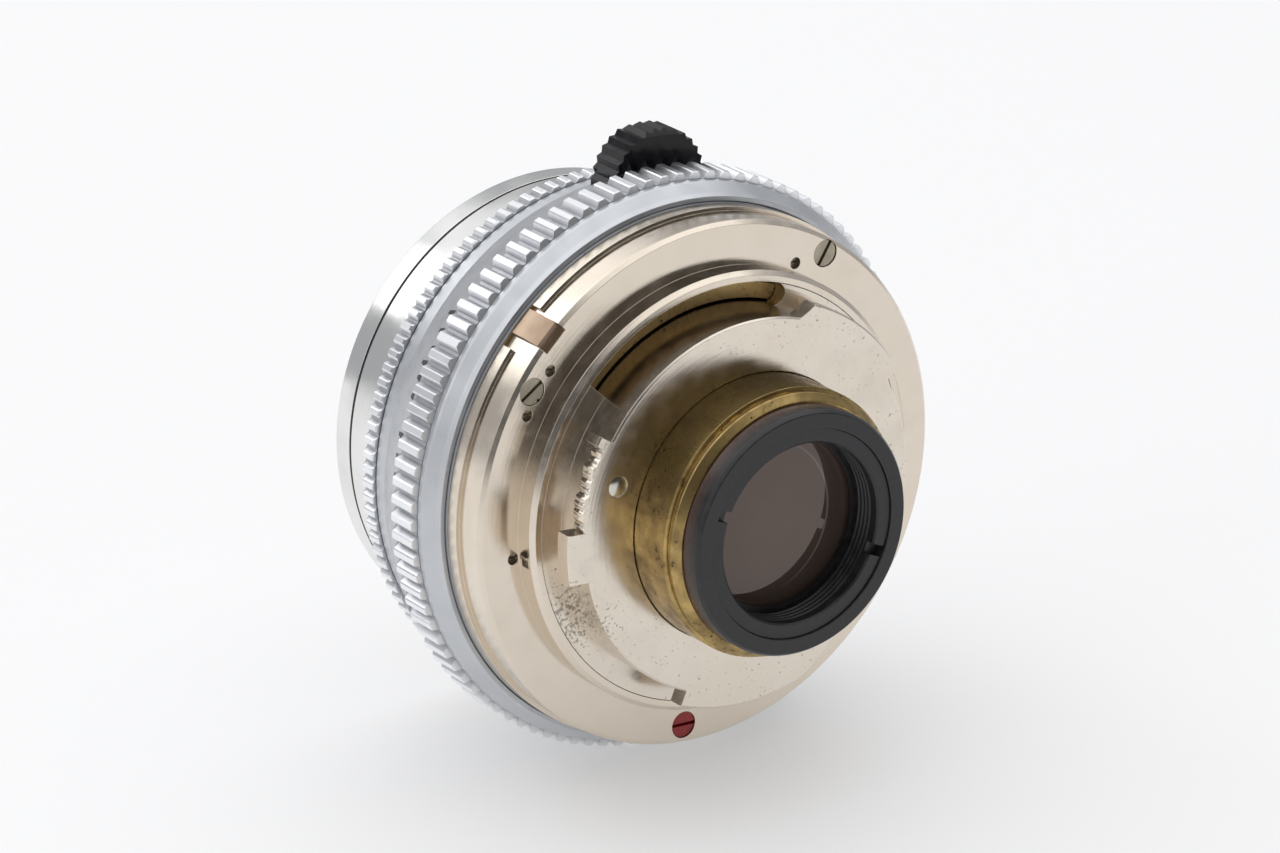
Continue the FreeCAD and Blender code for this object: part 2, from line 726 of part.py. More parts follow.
def slot_outline(curve, half_width):
    """Face that follows a curve in the XZ plane at a set distance to both sides."""
    first = curve.FirstParameter
    last = curve.LastParameter
    count = 30
    left = []
    right = []
    for index in range(count + 1):
        parameter = first + (last - first) * index / count
        point = curve.value(parameter)
        along = curve.tangent(parameter)[0]
        side = FreeCAD.Vector(-along.z, 0, along.x)
        left.append(point + side * half_width)
        right.append(point - side * half_width)
    return Part.Face(Part.makePolygon(left + right[::-1] + [left[0]]))


def iris_blade(index):
    """Thin crescent blade with its ear, pivot pin and drive pin."""
    rear = iris_first_blade - index * blade_spacing
    front = rear - blade_thickness
    low, high = blade_span
    sickle = ring(blade_inner_radius, blade_outer_radius, front, rear, low, high - low)
    pin = blade_pin_centre()
    pivot_pad = rod(blade_ear_radius, front, rear, blade_pivot_radius, 0)
    pin_pad = Part.makeCylinder(blade_ear_radius, blade_thickness, FreeCAD.Vector(pin.x, front, pin.z), OPTICAL_AXIS)
    web = Part.makeBox(2 * blade_ear_radius, blade_thickness, blade_pin_arm,
                       FreeCAD.Vector(blade_pivot_radius - blade_ear_radius, front, -blade_pin_arm))
    bridge = Part.makeBox(blade_pivot_radius - blade_inner_radius - 2, blade_thickness, 2 * blade_ear_radius,
                          FreeCAD.Vector(blade_inner_radius + 2, front, -blade_ear_radius))
    base = iris_base_rear - iris_base_thickness
    pivot_pin = rod(blade_pin_radius, rear, base + 0.8, blade_pivot_radius, 0)
    drive_pin = Part.makeCylinder(blade_pin_radius, front - drive_ring_front - 0.05,
                                  FreeCAD.Vector(pin.x, drive_ring_front + 0.05, pin.z), OPTICAL_AXIS)
    blade = sickle.fuse([pivot_pad, pin_pad, web, bridge, pivot_pin, drive_pin])
    return around(blade, index * 360.0 / blade_count)


def iris_housing():
    """Base plate with pivot holes and the wall around the blades."""
    base_front = iris_base_rear - iris_base_thickness
    outer = iris_wall_radius + iris_wall
    body = turned(((iris_opening_radius, base_front), (iris_wall_radius, base_front),
                   (iris_wall_radius, iris_cover_rear), (outer, iris_cover_rear), (outer, base_front),
                   (iris_base_radius, base_front), (iris_base_radius, iris_base_rear),
                   (iris_opening_radius, iris_base_rear)))
    cuts = []
    for index in range(blade_count):
        cuts.append(rod(blade_pin_radius + running_clearance, base_front, base_front + 0.85,
                        blade_pivot_radius, index * 360.0 / blade_count))
    cuts.append(link_arc(link_bar_inner_radius - link_gap, link_bar_outer_radius + link_gap,
                         base_front - 1, iris_base_rear + 1, link_bar_width))
    cuts.append(link_arc(iris_wall_radius - 0.1, outer + 0.1, drive_ring_front - 0.05,
                         drive_ring_rear + 0.05, link_width))
    return body.cut(cuts + iris_screw_rods())


def iris_screw_rods():
    """Rods at the three screws of the iris cover."""
    distance = iris_wall_radius + iris_wall / 2
    return [rod(iris_screw_radius, iris_cover_front, iris_cover_front + iris_screw_length, distance, degrees)
            for degrees in iris_screw_angles]


def iris_cover():
    """Front cover of the iris, with three screw holes."""
    body = ring(iris_opening_radius, iris_wall_radius + iris_wall, iris_cover_front, iris_cover_rear)
    return body.cut(iris_screw_rods())


def iris_screws():
    """Three small screws of the iris cover, flush with its front face."""
    return Part.makeCompound(iris_screw_rods())


def iris_clamp_ring():
    """Spacer between the barrel's spigot and the iris base, open where the link's arm passes."""
    outer = carrier_radius - carrier_wall - cell_clearance
    body = ring(front_shoulder_radius, outer, barrel_spigot_rear, iris_base_rear - iris_base_thickness)
    arm_room = link_arc(front_shoulder_radius - 0.2, outer + 0.2, drive_ring_front - 0.1,
                        drive_ring_rear + 0.1, link_width)
    return body.cut(arm_room)


def aperture_coupling_ring():
    """Brass ring; its rib runs in the collar, seen through the curved slot, and the link slides in its notch."""
    body = turned(((coupling_inner_radius, coupling_front), (coupling_sleeve_radius, coupling_front),
                   (coupling_sleeve_radius, coupling_flange_front),
                   (coupling_outer_radius, coupling_flange_front), (coupling_outer_radius, coupling_rear),
                   (coupling_rib_radius, coupling_rear), (coupling_rib_radius, coupling_rib_rear),
                   (coupling_inner_radius, coupling_rib_rear)))
    notch = radial_box(link_bar_width + 2 * link_gap, coupling_inner_radius - 1,
                       link_bar_outer_radius + link_gap, coupling_front - 1, coupling_rear - 0.15, link_angle)
    return body.cut(notch)


# Optics group

def helicoid_carrier():
    """Brass tube that screws in the focus ring; its web holds the lens tube."""
    inner = carrier_radius - carrier_wall
    web_front = carrier_web_rear - carrier_web_thickness
    body = turned(((inner, carrier_rear), (carrier_radius, carrier_rear), (carrier_radius, carrier_front),
                   (inner, carrier_front), (inner, iris_base_rear), (carrier_step_radius, iris_base_rear),
                   (carrier_step_radius, carrier_step_rear), (inner, carrier_step_rear), (inner, web_front),
                   (tube_radius, web_front), (tube_radius, carrier_web_rear), (inner, carrier_web_rear)))
    keyway = radial_box(guide_width + 2 * guide_clearance, guide_inner_radius - 0.2,
                        guide_outer_radius + guide_clearance, carrier_front, carrier_rear, guide_angle)
    keyway = keyway.cut(rod(carrier_radius, carrier_front, iris_base_rear))
    bar_room = link_arc(link_bar_inner_radius - link_gap, link_bar_outer_radius + link_gap,
                        web_front - 1, carrier_web_rear + 1, link_bar_width)
    arm_room = link_arc(inner - 0.2, carrier_radius + 0.2, drive_ring_front - 0.1,
                        drive_ring_rear + 0.1, link_width)
    return body.cut([keyway, bar_room, arm_room])


def index_band():
    """Satin band with the index; its front part is the bearing of the aperture ring."""
    body = turned(((carrier_radius, carrier_front), (aperture_bearing_radius, carrier_front),
                   (aperture_bearing_radius, index_band_front), (index_band_radius, index_band_front),
                   (index_band_radius, index_band_rear), (carrier_radius, index_band_rear)))
    arm_room = link_arc(carrier_radius - 0.2, aperture_bearing_radius + 0.2, drive_ring_front - 0.1,
                        drive_ring_rear + 0.1, link_width)
    return body.cut(arm_room)


def lens_tube():
    """Brass tube of the rear lens group, which slides through the lug plate."""
    return turned(((tube_bore_radius, tube_front), (tube_radius, tube_front), (tube_radius, tube_groove_front),
                   (tube_groove_radius, tube_groove_front + 0.1), (tube_groove_radius, tube_groove_rear - 0.1),
                   (tube_rim_radius, tube_groove_rear), (tube_rim_radius, tube_rear - 0.55),
                   (tube_rear_radius, tube_rear), (tube_bore_radius, tube_rear)))


def rear_cell():
    """Black cell screwed into the lens tube, with its flange behind the tube's end."""
    outer = tube_bore_radius - cell_clearance
    glass_rear = rear_ring_front
    glass_front = glass_rear - rear_glass_thickness
    return turned(((rear_cell_seat_radius, rear_cell_front), (outer, rear_cell_front), (outer, tube_rear),
                   (rear_cell_flange_radius, tube_rear), (rear_cell_flange_radius - 0.1, rear_cell_rear - 0.3),
                   (rear_cell_rear_radius, rear_cell_rear), (rear_cell_bore_radius, rear_cell_rear),
                   (rear_cell_bore_radius, glass_front), (rear_cell_seat_radius, glass_front - 0.4)))


def threaded_bore(radius, y_low, y_high):
    """Grooves of a fine inner thread, as rings one pitch apart."""
    count = int((y_high - y_low) / thread_pitch)
    grooves = []
    for index in range(count):
        y = y_low + (index + 0.5) * thread_pitch
        grooves.append(turned(((radius - 0.3, y - thread_pitch * 0.3), (radius, y - thread_pitch * 0.3),
                               (radius + thread_depth, y), (radius, y + thread_pitch * 0.3),
                               (radius - 0.3, y + thread_pitch * 0.3))))
    return grooves


def rear_retaining_ring():
    """Black ring that holds the rear glass, with two spanner slots."""
    body = turned(((rear_ring_lip_radius, rear_ring_front), (rear_ring_outer_radius, rear_ring_front),
                   (rear_ring_outer_radius, rear_ring_rear), (rear_ring_bore_radius + 0.15, rear_ring_rear),
                   (rear_ring_bore_radius, rear_ring_rear - 0.15), (rear_ring_bore_radius, rear_ring_lip_rear),
                   (rear_ring_lip_radius, rear_ring_lip_rear)))
    cuts = threaded_bore(rear_ring_bore_radius, rear_ring_lip_rear, rear_ring_rear - spanner_slot_depth)
    for degrees in (spanner_slot_angle, spanner_slot_angle + 180):
        cuts.append(radial_box(spanner_slot_width, rear_ring_bore_radius - 1, rear_ring_outer_radius + 1,
                               rear_ring_rear - spanner_slot_depth, rear_ring_rear + 1, degrees))
    return body.cut(cuts)


def front_barrel():
    """Chrome barrel in front of the aperture ring, which its collar retains."""
    inner = barrel_radius - barrel_wall
    spigot = carrier_radius - carrier_wall - cell_clearance
    collar_front = carrier_front - barrel_collar_width
    groove_front = groove_rear - groove_width
    neck = barrel_radius - groove_depth
    return turned(((front_shoulder_radius, barrel_spigot_rear), (spigot, barrel_spigot_rear),
                   (spigot, carrier_front), (barrel_collar_radius, carrier_front),
                   (barrel_collar_radius, collar_front), (barrel_radius, collar_front),
                   (barrel_radius, groove_rear), (neck, groove_rear), (neck, groove_front),
                   (inner, groove_front), (inner, front_shoulder), (front_shoulder_radius, front_shoulder)))


def groove_inlay():
    """Black enamel line in the groove between barrel and front rim."""
    neck = barrel_radius - groove_depth
    return ring(neck, barrel_radius - 0.1, groove_rear - groove_width, groove_rear)


def front_rim():
    """Chrome rim with the filter thread."""
    rear = groove_rear - groove_width
    inner = barrel_radius - barrel_wall
    thread_rear = barrel_front + filter_thread_length
    return turned(((inner, rear), (barrel_radius, rear), (barrel_radius, barrel_front + 0.25),
                   (barrel_radius - 0.25, barrel_front), (filter_thread_radius, barrel_front),
                   (filter_thread_radius, thread_rear), (inner, thread_rear)))


def front_cell():
    """Black cell of the front lens group, inserted from the front."""
    glass_edge = front_glass_radius + glass_gap
    doublet_edge = front_doublet_radius + glass_gap
    flange_front = front_shoulder - front_cell_flange
    glass_seat = front_glass_front + front_glass_thickness + front_glass_hollow + glass_gap
    doublet_seat = front_doublet_rear - front_doublet_thickness
    return turned(((doublet_edge, front_cell_rear), (front_cell_tube_radius, front_cell_rear),
                   (front_cell_tube_radius, front_shoulder), (front_cell_radius, front_shoulder),
                   (front_cell_radius, flange_front), (glass_edge, flange_front), (glass_edge, glass_seat),
                   (doublet_edge - 1, glass_seat), (doublet_edge - 1, doublet_seat),
                   (doublet_edge, doublet_seat)))


def name_ring():
    """Black front ring, left blank, that holds the front cell in the barrel."""
    rear = front_shoulder - front_cell_flange
    outer = barrel_radius - barrel_wall - cell_clearance
    return turned(((name_ring_inner_radius, rear), (outer, rear), (outer, name_ring_front),
                   (outer - 0.8, name_ring_front), (name_ring_inner_radius, rear - 0.25)))


def front_retaining_ring():
    """Black ring that holds the front doublet in the cell."""
    radius = front_doublet_radius + glass_gap
    return ring(radius - front_ring_width, radius, front_doublet_rear, front_doublet_rear + front_ring_height)


def front_glass():
    """Front element, strongly curved to the front."""
    front = front_glass_front
    return lens_element(front_glass_radius, front, front + front_glass_thickness, front_glass_bulge,
                        -front_glass_hollow)


def front_doublet():
    """Cemented doublet in front of the iris, hollow to the rear."""
    seat = front_doublet_rear - front_doublet_thickness
    front = seat + front_doublet_seat_gap - front_doublet_curve
    rear = front_doublet_rear - glass_gap - front_doublet_curve
    return lens_element(front_doublet_radius, front, rear, front_doublet_curve, -front_doublet_curve)


def rear_doublet():
    """Cemented doublet behind the iris."""
    front = rear_doublet_front
    return lens_element(rear_doublet_radius, front, front + rear_doublet_thickness, -1.2, 1.2)


def rear_doublet_mount():
    """Brass sleeve that holds the rear doublet in the lens tube."""
    front = rear_doublet_front - 1
    rear = rear_doublet_front + rear_doublet_thickness
    return ring(rear_doublet_radius + glass_gap, tube_bore_radius - cell_clearance, front, rear)


def rear_glass():
    """Rear element behind the retaining ring's lip."""
    rear = rear_ring_front - glass_gap - rear_glass_hollow
    return lens_element(rear_glass_radius, rear - rear_glass_thickness + 0.2, rear, rear_glass_bulge,
                        -rear_glass_hollow)


def main():
    os.makedirs("parts", exist_ok=True)
    pieces = {
        "bayonet_flange": bayonet_flange(),
        "bayonet_lug_ring": bayonet_lug_ring(),
        "lug_plate_pin": lug_plate_pin(),
        "locating_key": locating_key(),
        "flange_shim": flange_shim(),
        "mount_housing": mount_housing(),
        "flange_screws": flange_screws(),
        "red_index_screw": red_index_screw(),
        "flange_set_screws": flange_set_screws(),
        "straight_guide": straight_guide(),
        "guide_screws": guide_screws(),
        "focus_ring": focus_ring(),
        "rear_bezel": rear_bezel(),
        "finger_grip_upper": finger_grip(grip_angles[0]),
        "finger_grip_lower": finger_grip(grip_angles[1]),
        "finger_grip_pins": Part.makeCompound(grip_pin_rods()),
        "focus_stop_pin": focus_stop_pin(),
        "aperture_ring": aperture_ring(),
        "aperture_link": aperture_link(),
        "iris_drive_ring": drive_ring(),
        "iris_housing": iris_housing(),
        "iris_cover": iris_cover(),
        "iris_screws": iris_screws(),
        "iris_clamp_ring": iris_clamp_ring(),
        "aperture_coupling_ring": aperture_coupling_ring(),
        "helicoid_carrier": helicoid_carrier(),
        "index_band": index_band(),
        "lens_tube": lens_tube(),
        "rear_cell": rear_cell(),
        "rear_retaining_ring": rear_retaining_ring(),
        "front_barrel": front_barrel(),
        "groove_inlay": groove_inlay(),
        "front_rim": front_rim(),
        "front_cell": front_cell(),
        "front_retaining_ring": front_retaining_ring(),
        "name_ring": name_ring(),
        "front_glass": front_glass(),
        "front_doublet": front_doublet(),
        "rear_doublet": rear_doublet(),
        "rear_doublet_mount": rear_doublet_mount(),
        "rear_glass": rear_glass(),
    }
    for index in range(blade_count):
        pieces["iris_blade_%d" % (index + 1)] = iris_blade(index)
    for name, shape in pieces.items():
        export(name, shape)


main()
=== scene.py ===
import json
import math

import bmesh
import bpy
import numpy as np
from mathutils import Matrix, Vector


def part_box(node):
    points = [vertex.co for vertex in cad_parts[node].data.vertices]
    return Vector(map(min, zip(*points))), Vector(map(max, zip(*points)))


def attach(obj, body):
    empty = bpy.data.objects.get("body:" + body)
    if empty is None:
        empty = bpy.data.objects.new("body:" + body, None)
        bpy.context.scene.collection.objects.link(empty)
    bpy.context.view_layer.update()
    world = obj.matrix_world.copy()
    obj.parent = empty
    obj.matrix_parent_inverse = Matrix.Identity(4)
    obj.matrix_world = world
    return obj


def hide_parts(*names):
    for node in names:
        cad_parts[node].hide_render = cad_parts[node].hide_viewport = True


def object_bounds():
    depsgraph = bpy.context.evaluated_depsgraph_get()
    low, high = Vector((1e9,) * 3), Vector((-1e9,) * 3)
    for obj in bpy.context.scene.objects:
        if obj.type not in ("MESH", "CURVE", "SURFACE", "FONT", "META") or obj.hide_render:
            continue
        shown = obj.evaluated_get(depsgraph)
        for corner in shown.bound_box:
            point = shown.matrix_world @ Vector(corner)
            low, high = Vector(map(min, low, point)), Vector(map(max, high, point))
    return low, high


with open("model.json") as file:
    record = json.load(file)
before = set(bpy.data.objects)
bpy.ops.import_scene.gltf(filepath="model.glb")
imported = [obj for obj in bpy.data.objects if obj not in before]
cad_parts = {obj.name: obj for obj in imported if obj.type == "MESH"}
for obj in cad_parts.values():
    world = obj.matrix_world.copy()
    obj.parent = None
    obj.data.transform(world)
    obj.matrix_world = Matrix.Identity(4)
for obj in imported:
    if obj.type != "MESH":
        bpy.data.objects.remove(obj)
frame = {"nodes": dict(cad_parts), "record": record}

cad_low, cad_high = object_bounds()


# Bayonet flange and its turned face
# A disc of nickel silver, faced and turned on a lathe, with a raised register ring.
# It is held on the housing by slotted screws, and worn where it met a camera.
MM = 0.001
segments_round = 360


def box_mm(node_name):
    """Lowest and highest corner of a CAD node, in millimetres."""
    low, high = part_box(node_name)
    return np.array(low) / MM, np.array(high) / MM


def add_node(tree, kind, values=None, **settings):
    """New shader node; values are numbers, or sockets of other nodes to be linked."""
    made = tree.nodes.new(kind)
    for name, value in settings.items():
        setattr(made, name, value)
    for socket, value in (values or {}).items():
        if isinstance(value, bpy.types.NodeSocket):
            tree.links.new(value, made.inputs[socket])
        else:
            made.inputs[socket].default_value = value
    return made


def start_material(name):
    """Material with a Principled shader; returns it, its tree and the shader."""
    material = bpy.data.materials.new(name)
    material.use_nodes = True
    tree = material.node_tree
    return material, tree, tree.nodes["Principled BSDF"]


def object_place(tree):
    """Object coordinates in millimetres."""
    metres = add_node(tree, "ShaderNodeTexCoord").outputs["Object"]
    return add_node(tree, "ShaderNodeVectorMath", {0: metres, "Scale": 1.0 / MM}, operation="SCALE").outputs[0]


def remap(tree, value, low, high, new_low=0.0, new_high=1.0):
    """Value between low and high turned into the new range, and held there."""
    sockets = {0: value, 1: low, 2: high, 3: new_low, 4: new_high}
    return add_node(tree, "ShaderNodeMapRange", sockets).outputs[0]


def scaled(tree, share, low, high):
    """Share from 0 to 1 turned into a range."""
    return remap(tree, share, 0.0, 1.0, low, high)


def combine(tree, operation, first, second):
    """One Math node."""
    return add_node(tree, "ShaderNodeMath", {0: first, 1: second}, operation=operation).outputs[0]


def combine_vectors(tree, operation, first, second, output="Vector"):
    """One Vector Math node."""
    return add_node(tree, "ShaderNodeVectorMath", {0: first, 1: second}, operation=operation).outputs[output]


def noise(tree, place, scale, detail):
    """Plain noise, with scale in waves per mm."""
    sockets = {"Vector": place, "Scale": scale, "Detail": detail}
    return add_node(tree, "ShaderNodeTexNoise", sockets).outputs["Fac"]


def axis_distance(tree, place):
    """Distance from the lens's axis."""
    flat = combine_vectors(tree, "MULTIPLY", place, (1.0, 0.0, 1.0))
    return add_node(tree, "ShaderNodeVectorMath", {0: flat}, operation="LENGTH").outputs["Value"]


def coordinate(tree, place, letter):
    """One coordinate of a place."""
    return add_node(tree, "ShaderNodeSeparateXYZ", {0: place}).outputs[letter]


def turned_lines(tree, place, across):
    """Noise that changes with radius and station only, as a lathe tool leaves it; across is lines per mm."""
    radius = axis_distance(tree, place)
    station = coordinate(tree, place, "Y")
    pair = add_node(tree, "ShaderNodeCombineXYZ", {0: radius, 1: station}).outputs[0]
    return noise(tree, pair, across, 3.0)


def blotches(tree, place, size, detail=4.0, low=0.45, high=0.65):
    """Soft noise blotches of about that size in mm, from 0 to 1."""
    return remap(tree, noise(tree, place, 1.0 / size, detail), low, high)


def specks(tree, place, spacing, size):
    """Sharp dark specks: 1 near the middle of some of the cells, each of its own size."""
    cells = add_node(tree, "ShaderNodeTexVoronoi", {"Vector": place, "Scale": 1.0 / spacing})
    pick = add_node(tree, "ShaderNodeSeparateColor", {0: cells.outputs["Color"]}).outputs[0]
    reach = remap(tree, pick, 0.6, 1.0, 0.0, size / spacing)
    inside = combine(tree, "SUBTRACT", cells.outputs["Distance"], reach)
    return remap(tree, inside, 0.01, -0.02)


def mix_colour(tree, share, first, second):
    """First colour where share is 0, second where it is 1."""
    mixed = add_node(tree, "ShaderNodeMix", data_type="RGBA")
    for index, value in ((0, share), (6, first), (7, second)):
        if isinstance(value, bpy.types.NodeSocket):
            tree.links.new(value, mixed.inputs[index])
        else:
            mixed.inputs[index].default_value = value if index == 0 else (*value, 1.0)[:4]
    return mixed.outputs[2]


def add_bump(tree, shader, height, strength, distance, **sockets):
    """Bump from a height to the shader; distance in mm."""
    values = {"Height": height, "Strength": strength, "Distance": distance * MM, **sockets}
    bump = add_node(tree, "ShaderNodeBump", values)
    tree.links.new(bump.outputs[0], shader.inputs["Normal"])


def turned_tangent(tree, shader, place, amount):
    """Anisotropy along the lathe's circles: the tangent is the place crossed with the axis."""
    across = combine_vectors(tree, "CROSS_PRODUCT", place, (0.0, 1.0, 0.0))
    world = add_node(tree, "ShaderNodeVectorTransform", {0: across}, vector_type="VECTOR",
                     convert_from="OBJECT", convert_to="WORLD").outputs[0]
    unit = add_node(tree, "ShaderNodeVectorMath", {0: world}, operation="NORMALIZE").outputs[0]
    tree.links.new(unit, shader.inputs["Tangent"])
    shader.inputs["Anisotropic"].default_value = amount


def pitted(tree, place, centre, reach, colour, pit_colour=(0.20, 0.18, 0.15)):
    """Colour with sharp corrosion pits that thin out away from a centre."""
    away = combine_vectors(tree, "DISTANCE", place, centre, "Value")
    near = remap(tree, away, reach, reach * 0.3, 0.0, 0.16)
    grain = noise(tree, place, 3.6, 4.0)
    pits = remap(tree, combine(tree, "ADD", grain, near), 0.66, 0.72, 0.0, 0.7)
    return mix_colour(tree, pits, colour, pit_colour)


def turned_metal(name, bright, stain, rough, anisotropy, line_depth, stain_share=0.5,
                 speck_colour=(0.05, 0.04, 0.03), speck_spacing=2.6, speck_size=0.32, edge_radius=0.07,
                 pitted_at=None, pitted_reach=5.2, metallic=1.0):
    """Lathe-turned metal: fine circles in its bump, broken edges, soft stains, and dark specks of wear."""
    material, tree, shader = start_material(name)
    place = object_place(tree)
    lines = turned_lines(tree, place, 3.5)
    fine = turned_lines(tree, place, 14.0)
    stains = blotches(tree, place, 7.0)
    pits = specks(tree, place, speck_spacing, speck_size)
    colour = mix_colour(tree, scaled(tree, stains, 0.0, stain_share), bright, stain)
    colour = mix_colour(tree, scaled(tree, lines, 0.0, 0.12), colour, stain)
    colour = mix_colour(tree, pits, colour, speck_colour)
    if pitted_at:
        colour = pitted(tree, place, pitted_at, pitted_reach, colour)
    tree.links.new(colour, shader.inputs["Base Color"])
    smears = blotches(tree, place, 2.2)
    dull = scaled(tree, pits, 0.0, 0.4)
    roughness = combine(tree, "ADD", scaled(tree, smears, rough * 0.85, rough * 1.2), dull)
    tree.links.new(roughness, shader.inputs["Roughness"])
    shader.inputs["Metallic"].default_value = metallic
    height = combine(tree, "SUBTRACT", combine(tree, "ADD", lines, fine), dull)
    broken_edge = add_node(tree, "ShaderNodeBevel", {"Radius": edge_radius * MM}, samples=4).outputs[0]
    add_bump(tree, shader, height, 0.6, line_depth, Normal=broken_edge)
    if anisotropy:
        turned_tangent(tree, shader, place, anisotropy)
    return material


def fair_copy(node_name, name, sharp_degrees):
    """Copy of a CAD node with its doubles merged, smooth up to an angle between faces."""
    work = bmesh.new()
    work.from_mesh(frame["nodes"][node_name].data)
    bmesh.ops.remove_doubles(work, verts=work.verts, dist=0.002 * MM)
    mesh = bpy.data.meshes.new(name)
    work.to_mesh(mesh)
    work.free()
    if "custom_normal" in mesh.attributes:
        mesh.attributes.remove(mesh.attributes["custom_normal"])
    mesh.shade_smooth()
    mesh.set_sharp_from_angle(angle=math.radians(sharp_degrees))
    piece = bpy.data.objects.new(name, mesh)
    bpy.context.collection.objects.link(piece)
    return piece


def fit_piece(piece, body, node_names, material):
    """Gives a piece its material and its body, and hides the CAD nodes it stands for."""
    piece.data.materials.clear()
    piece.data.materials.append(material)
    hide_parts(*node_names)
    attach(piece, body)


def finish_node(node_name, name, body, material, sharp_degrees=28.0):
    """Fair copy of one CAD node, with its finish."""
    fit_piece(fair_copy(node_name, name, sharp_degrees), body, [node_name], material)


nickel_silver = turned_metal("nickel_silver_turned", (0.77, 0.69, 0.59), (0.64, 0.55, 0.43), 0.20, 0.75,
                             0.006, stain_share=0.15, speck_spacing=5.0, speck_size=0.22)
finish_node("bayonet_flange", "flange_disc", "mount", nickel_silver)


# Lug ring
# The same nickel silver, with three lugs milled out of its plate; one was filed by hand.
# Its plate is pitted and scratched where it slid in a camera's mount.
plate_silver = turned_metal("nickel_silver_plate", (0.78, 0.71, 0.62), (0.64, 0.55, 0.44), 0.22, 0.7, 0.006,
                            stain_share=0.15, speck_spacing=4.4, speck_size=0.24, pitted_at=(16.6, 3.0, -8.0))
finish_node("bayonet_lug_ring", "lug_plate", "mount", plate_silver)


def grid_faces(rows, columns):
    """Quads of a grid that closes on itself both ways."""
    row, column = np.meshgrid(np.arange(rows), np.arange(columns), indexing="ij")
    below = (row + 1) % rows
    beside = (column + 1) % columns
    quads = np.stack([row * columns + column, below * columns + column, below * columns + beside,
                      row * columns + beside], axis=-1)
    return quads.reshape(-1, 4)


def ragged_edge(name, low_angle, high_angle, root, tip, front, rear, steps=150):
    """Strip of metal left by a file: a bar bent round the axis with an uneven outer face.

    Its outer radius at an angle is the tip less sums of sines of that angle with unrelated lengths, cut
    off at the root; the bar's section has six corners, and both ends close to a thin edge.
    """
    angle = np.linspace(low_angle, high_angle, steps)
    wave = (np.sin(angle * 0.62) + 0.6 * np.sin(angle * 1.37 + 1.0) + 0.4 * np.sin(angle * 2.9 + 2.0)) / 2.0
    fade = np.clip(np.minimum(angle - low_angle, high_angle - angle) / 1.5, 0, 1)
    outer = root + 0.05 + (tip - root) * fade * np.clip(0.55 + 0.45 * wave, 0.05, 1)
    lean = 0.12 * (tip - root) * fade * np.sin(angle * 1.1)
    middle = (front + rear) / 2
    section = [(root - 0.6 + 0 * angle, front), (outer - 0.1, front), (outer + lean * 0.5, middle - 0.2),
               (outer - lean * 0.5, rear - 0.25), (outer - 0.15, rear), (root - 0.6 + 0 * angle, rear)]
    radius = np.stack([pair[0] for pair in section], axis=1)
    station = np.broadcast_to(np.array([pair[1] for pair in section]), radius.shape)
    turn = np.radians(angle)[:, None]
    points = np.stack([radius * np.cos(turn), station, radius * np.sin(turn)], axis=-1).reshape(-1, 3)
    corners = len(section)
    quads = grid_faces(steps, corners)[: (steps - 1) * corners]
    ends = [list(range(corners)), list(range((steps - 1) * corners, steps * corners))[::-1]]
    mesh = bpy.data.meshes.new(name)
    mesh.from_pydata((points * MM).tolist(), [], quads.tolist() + ends)
    mesh.shade_smooth()
    mesh.set_sharp_from_angle(angle=math.radians(50.0))
    piece = bpy.data.objects.new(name, mesh)
    bpy.context.collection.objects.link(piece)
    shape = bmesh.new()
    shape.from_mesh(mesh)
    bmesh.ops.recalc_face_normals(shape, faces=shape.faces)
    shape.to_mesh(mesh)
    shape.free()
    return piece


plate_rear = box_mm("bayonet_lug_ring")[1][1]
filed_low_angle = 5.5
filed_high_angle = 31.0
filed_root = 17.38
filed_tip = 18.0
filed_front = plate_rear - 1.45
filed_rear = plate_rear - 0.03
filed_edge = ragged_edge("filed_lug_edge", filed_low_angle, filed_high_angle, filed_root, filed_tip,
                         filed_front, filed_rear)
filed_edge.data.materials.append(plate_silver)
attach(filed_edge, "mount")
rivet_steel = turned_metal("rivet_steel", (0.66, 0.64, 0.58), (0.45, 0.40, 0.30), 0.22, 0.0, 0.002)
finish_node("lug_plate_pin", "lug_plate_rivet", "mount", rivet_steel)


# Screws, key and shim of the mount
# Cheese-head screws with darkened slots, one of them filled with red paint as the index.
# The key is a small block of bronze, sawn and filed, in a slot of the flange's rim.
screw_metal = turned_metal("screw_steel", (0.50, 0.46, 0.37), (0.20, 0.17, 0.12), 0.3, 0.0, 0.003,
                           stain_share=0.9)
finish_node("flange_screws", "flange_screw_heads", "mount", screw_metal)
sunk_metal = turned_metal("sunk_screw_steel", (0.30, 0.27, 0.22), (0.12, 0.10, 0.07), 0.3, 0.0, 0.003)
finish_node("flange_set_screws", "sunk_screws", "mount", sunk_metal)


def painted_screw(name, paint, wear):
    """Gloss paint with small chips."""
    material, tree, shader = start_material(name)
    place = object_place(tree)
    chips = blotches(tree, place, 0.45, low=0.55, high=0.7)
    tree.links.new(mix_colour(tree, chips, paint, wear), shader.inputs["Base Color"])
    tree.links.new(scaled(tree, chips, 0.22, 0.5), shader.inputs["Roughness"])
    add_bump(tree, shader, chips, 0.4, 0.01)
    return material


red_paint = painted_screw("red_index_paint", (0.36, 0.022, 0.02), (0.16, 0.015, 0.012))
finish_node("red_index_screw", "red_screw_head", "mount", red_paint)
key_bronze = turned_metal("key_bronze", (0.42, 0.315, 0.235), (0.33, 0.24, 0.17), 0.42, 0.0, 0.003)
finish_node("locating_key", "bronze_key_block", "mount", key_bronze, 20.0)
shim_brass = turned_metal("shim_brass", (0.50, 0.34, 0.16), (0.30, 0.20, 0.10), 0.4, 0.0, 0.002)
finish_node("flange_shim", "shim_edge", "mount", shim_brass)


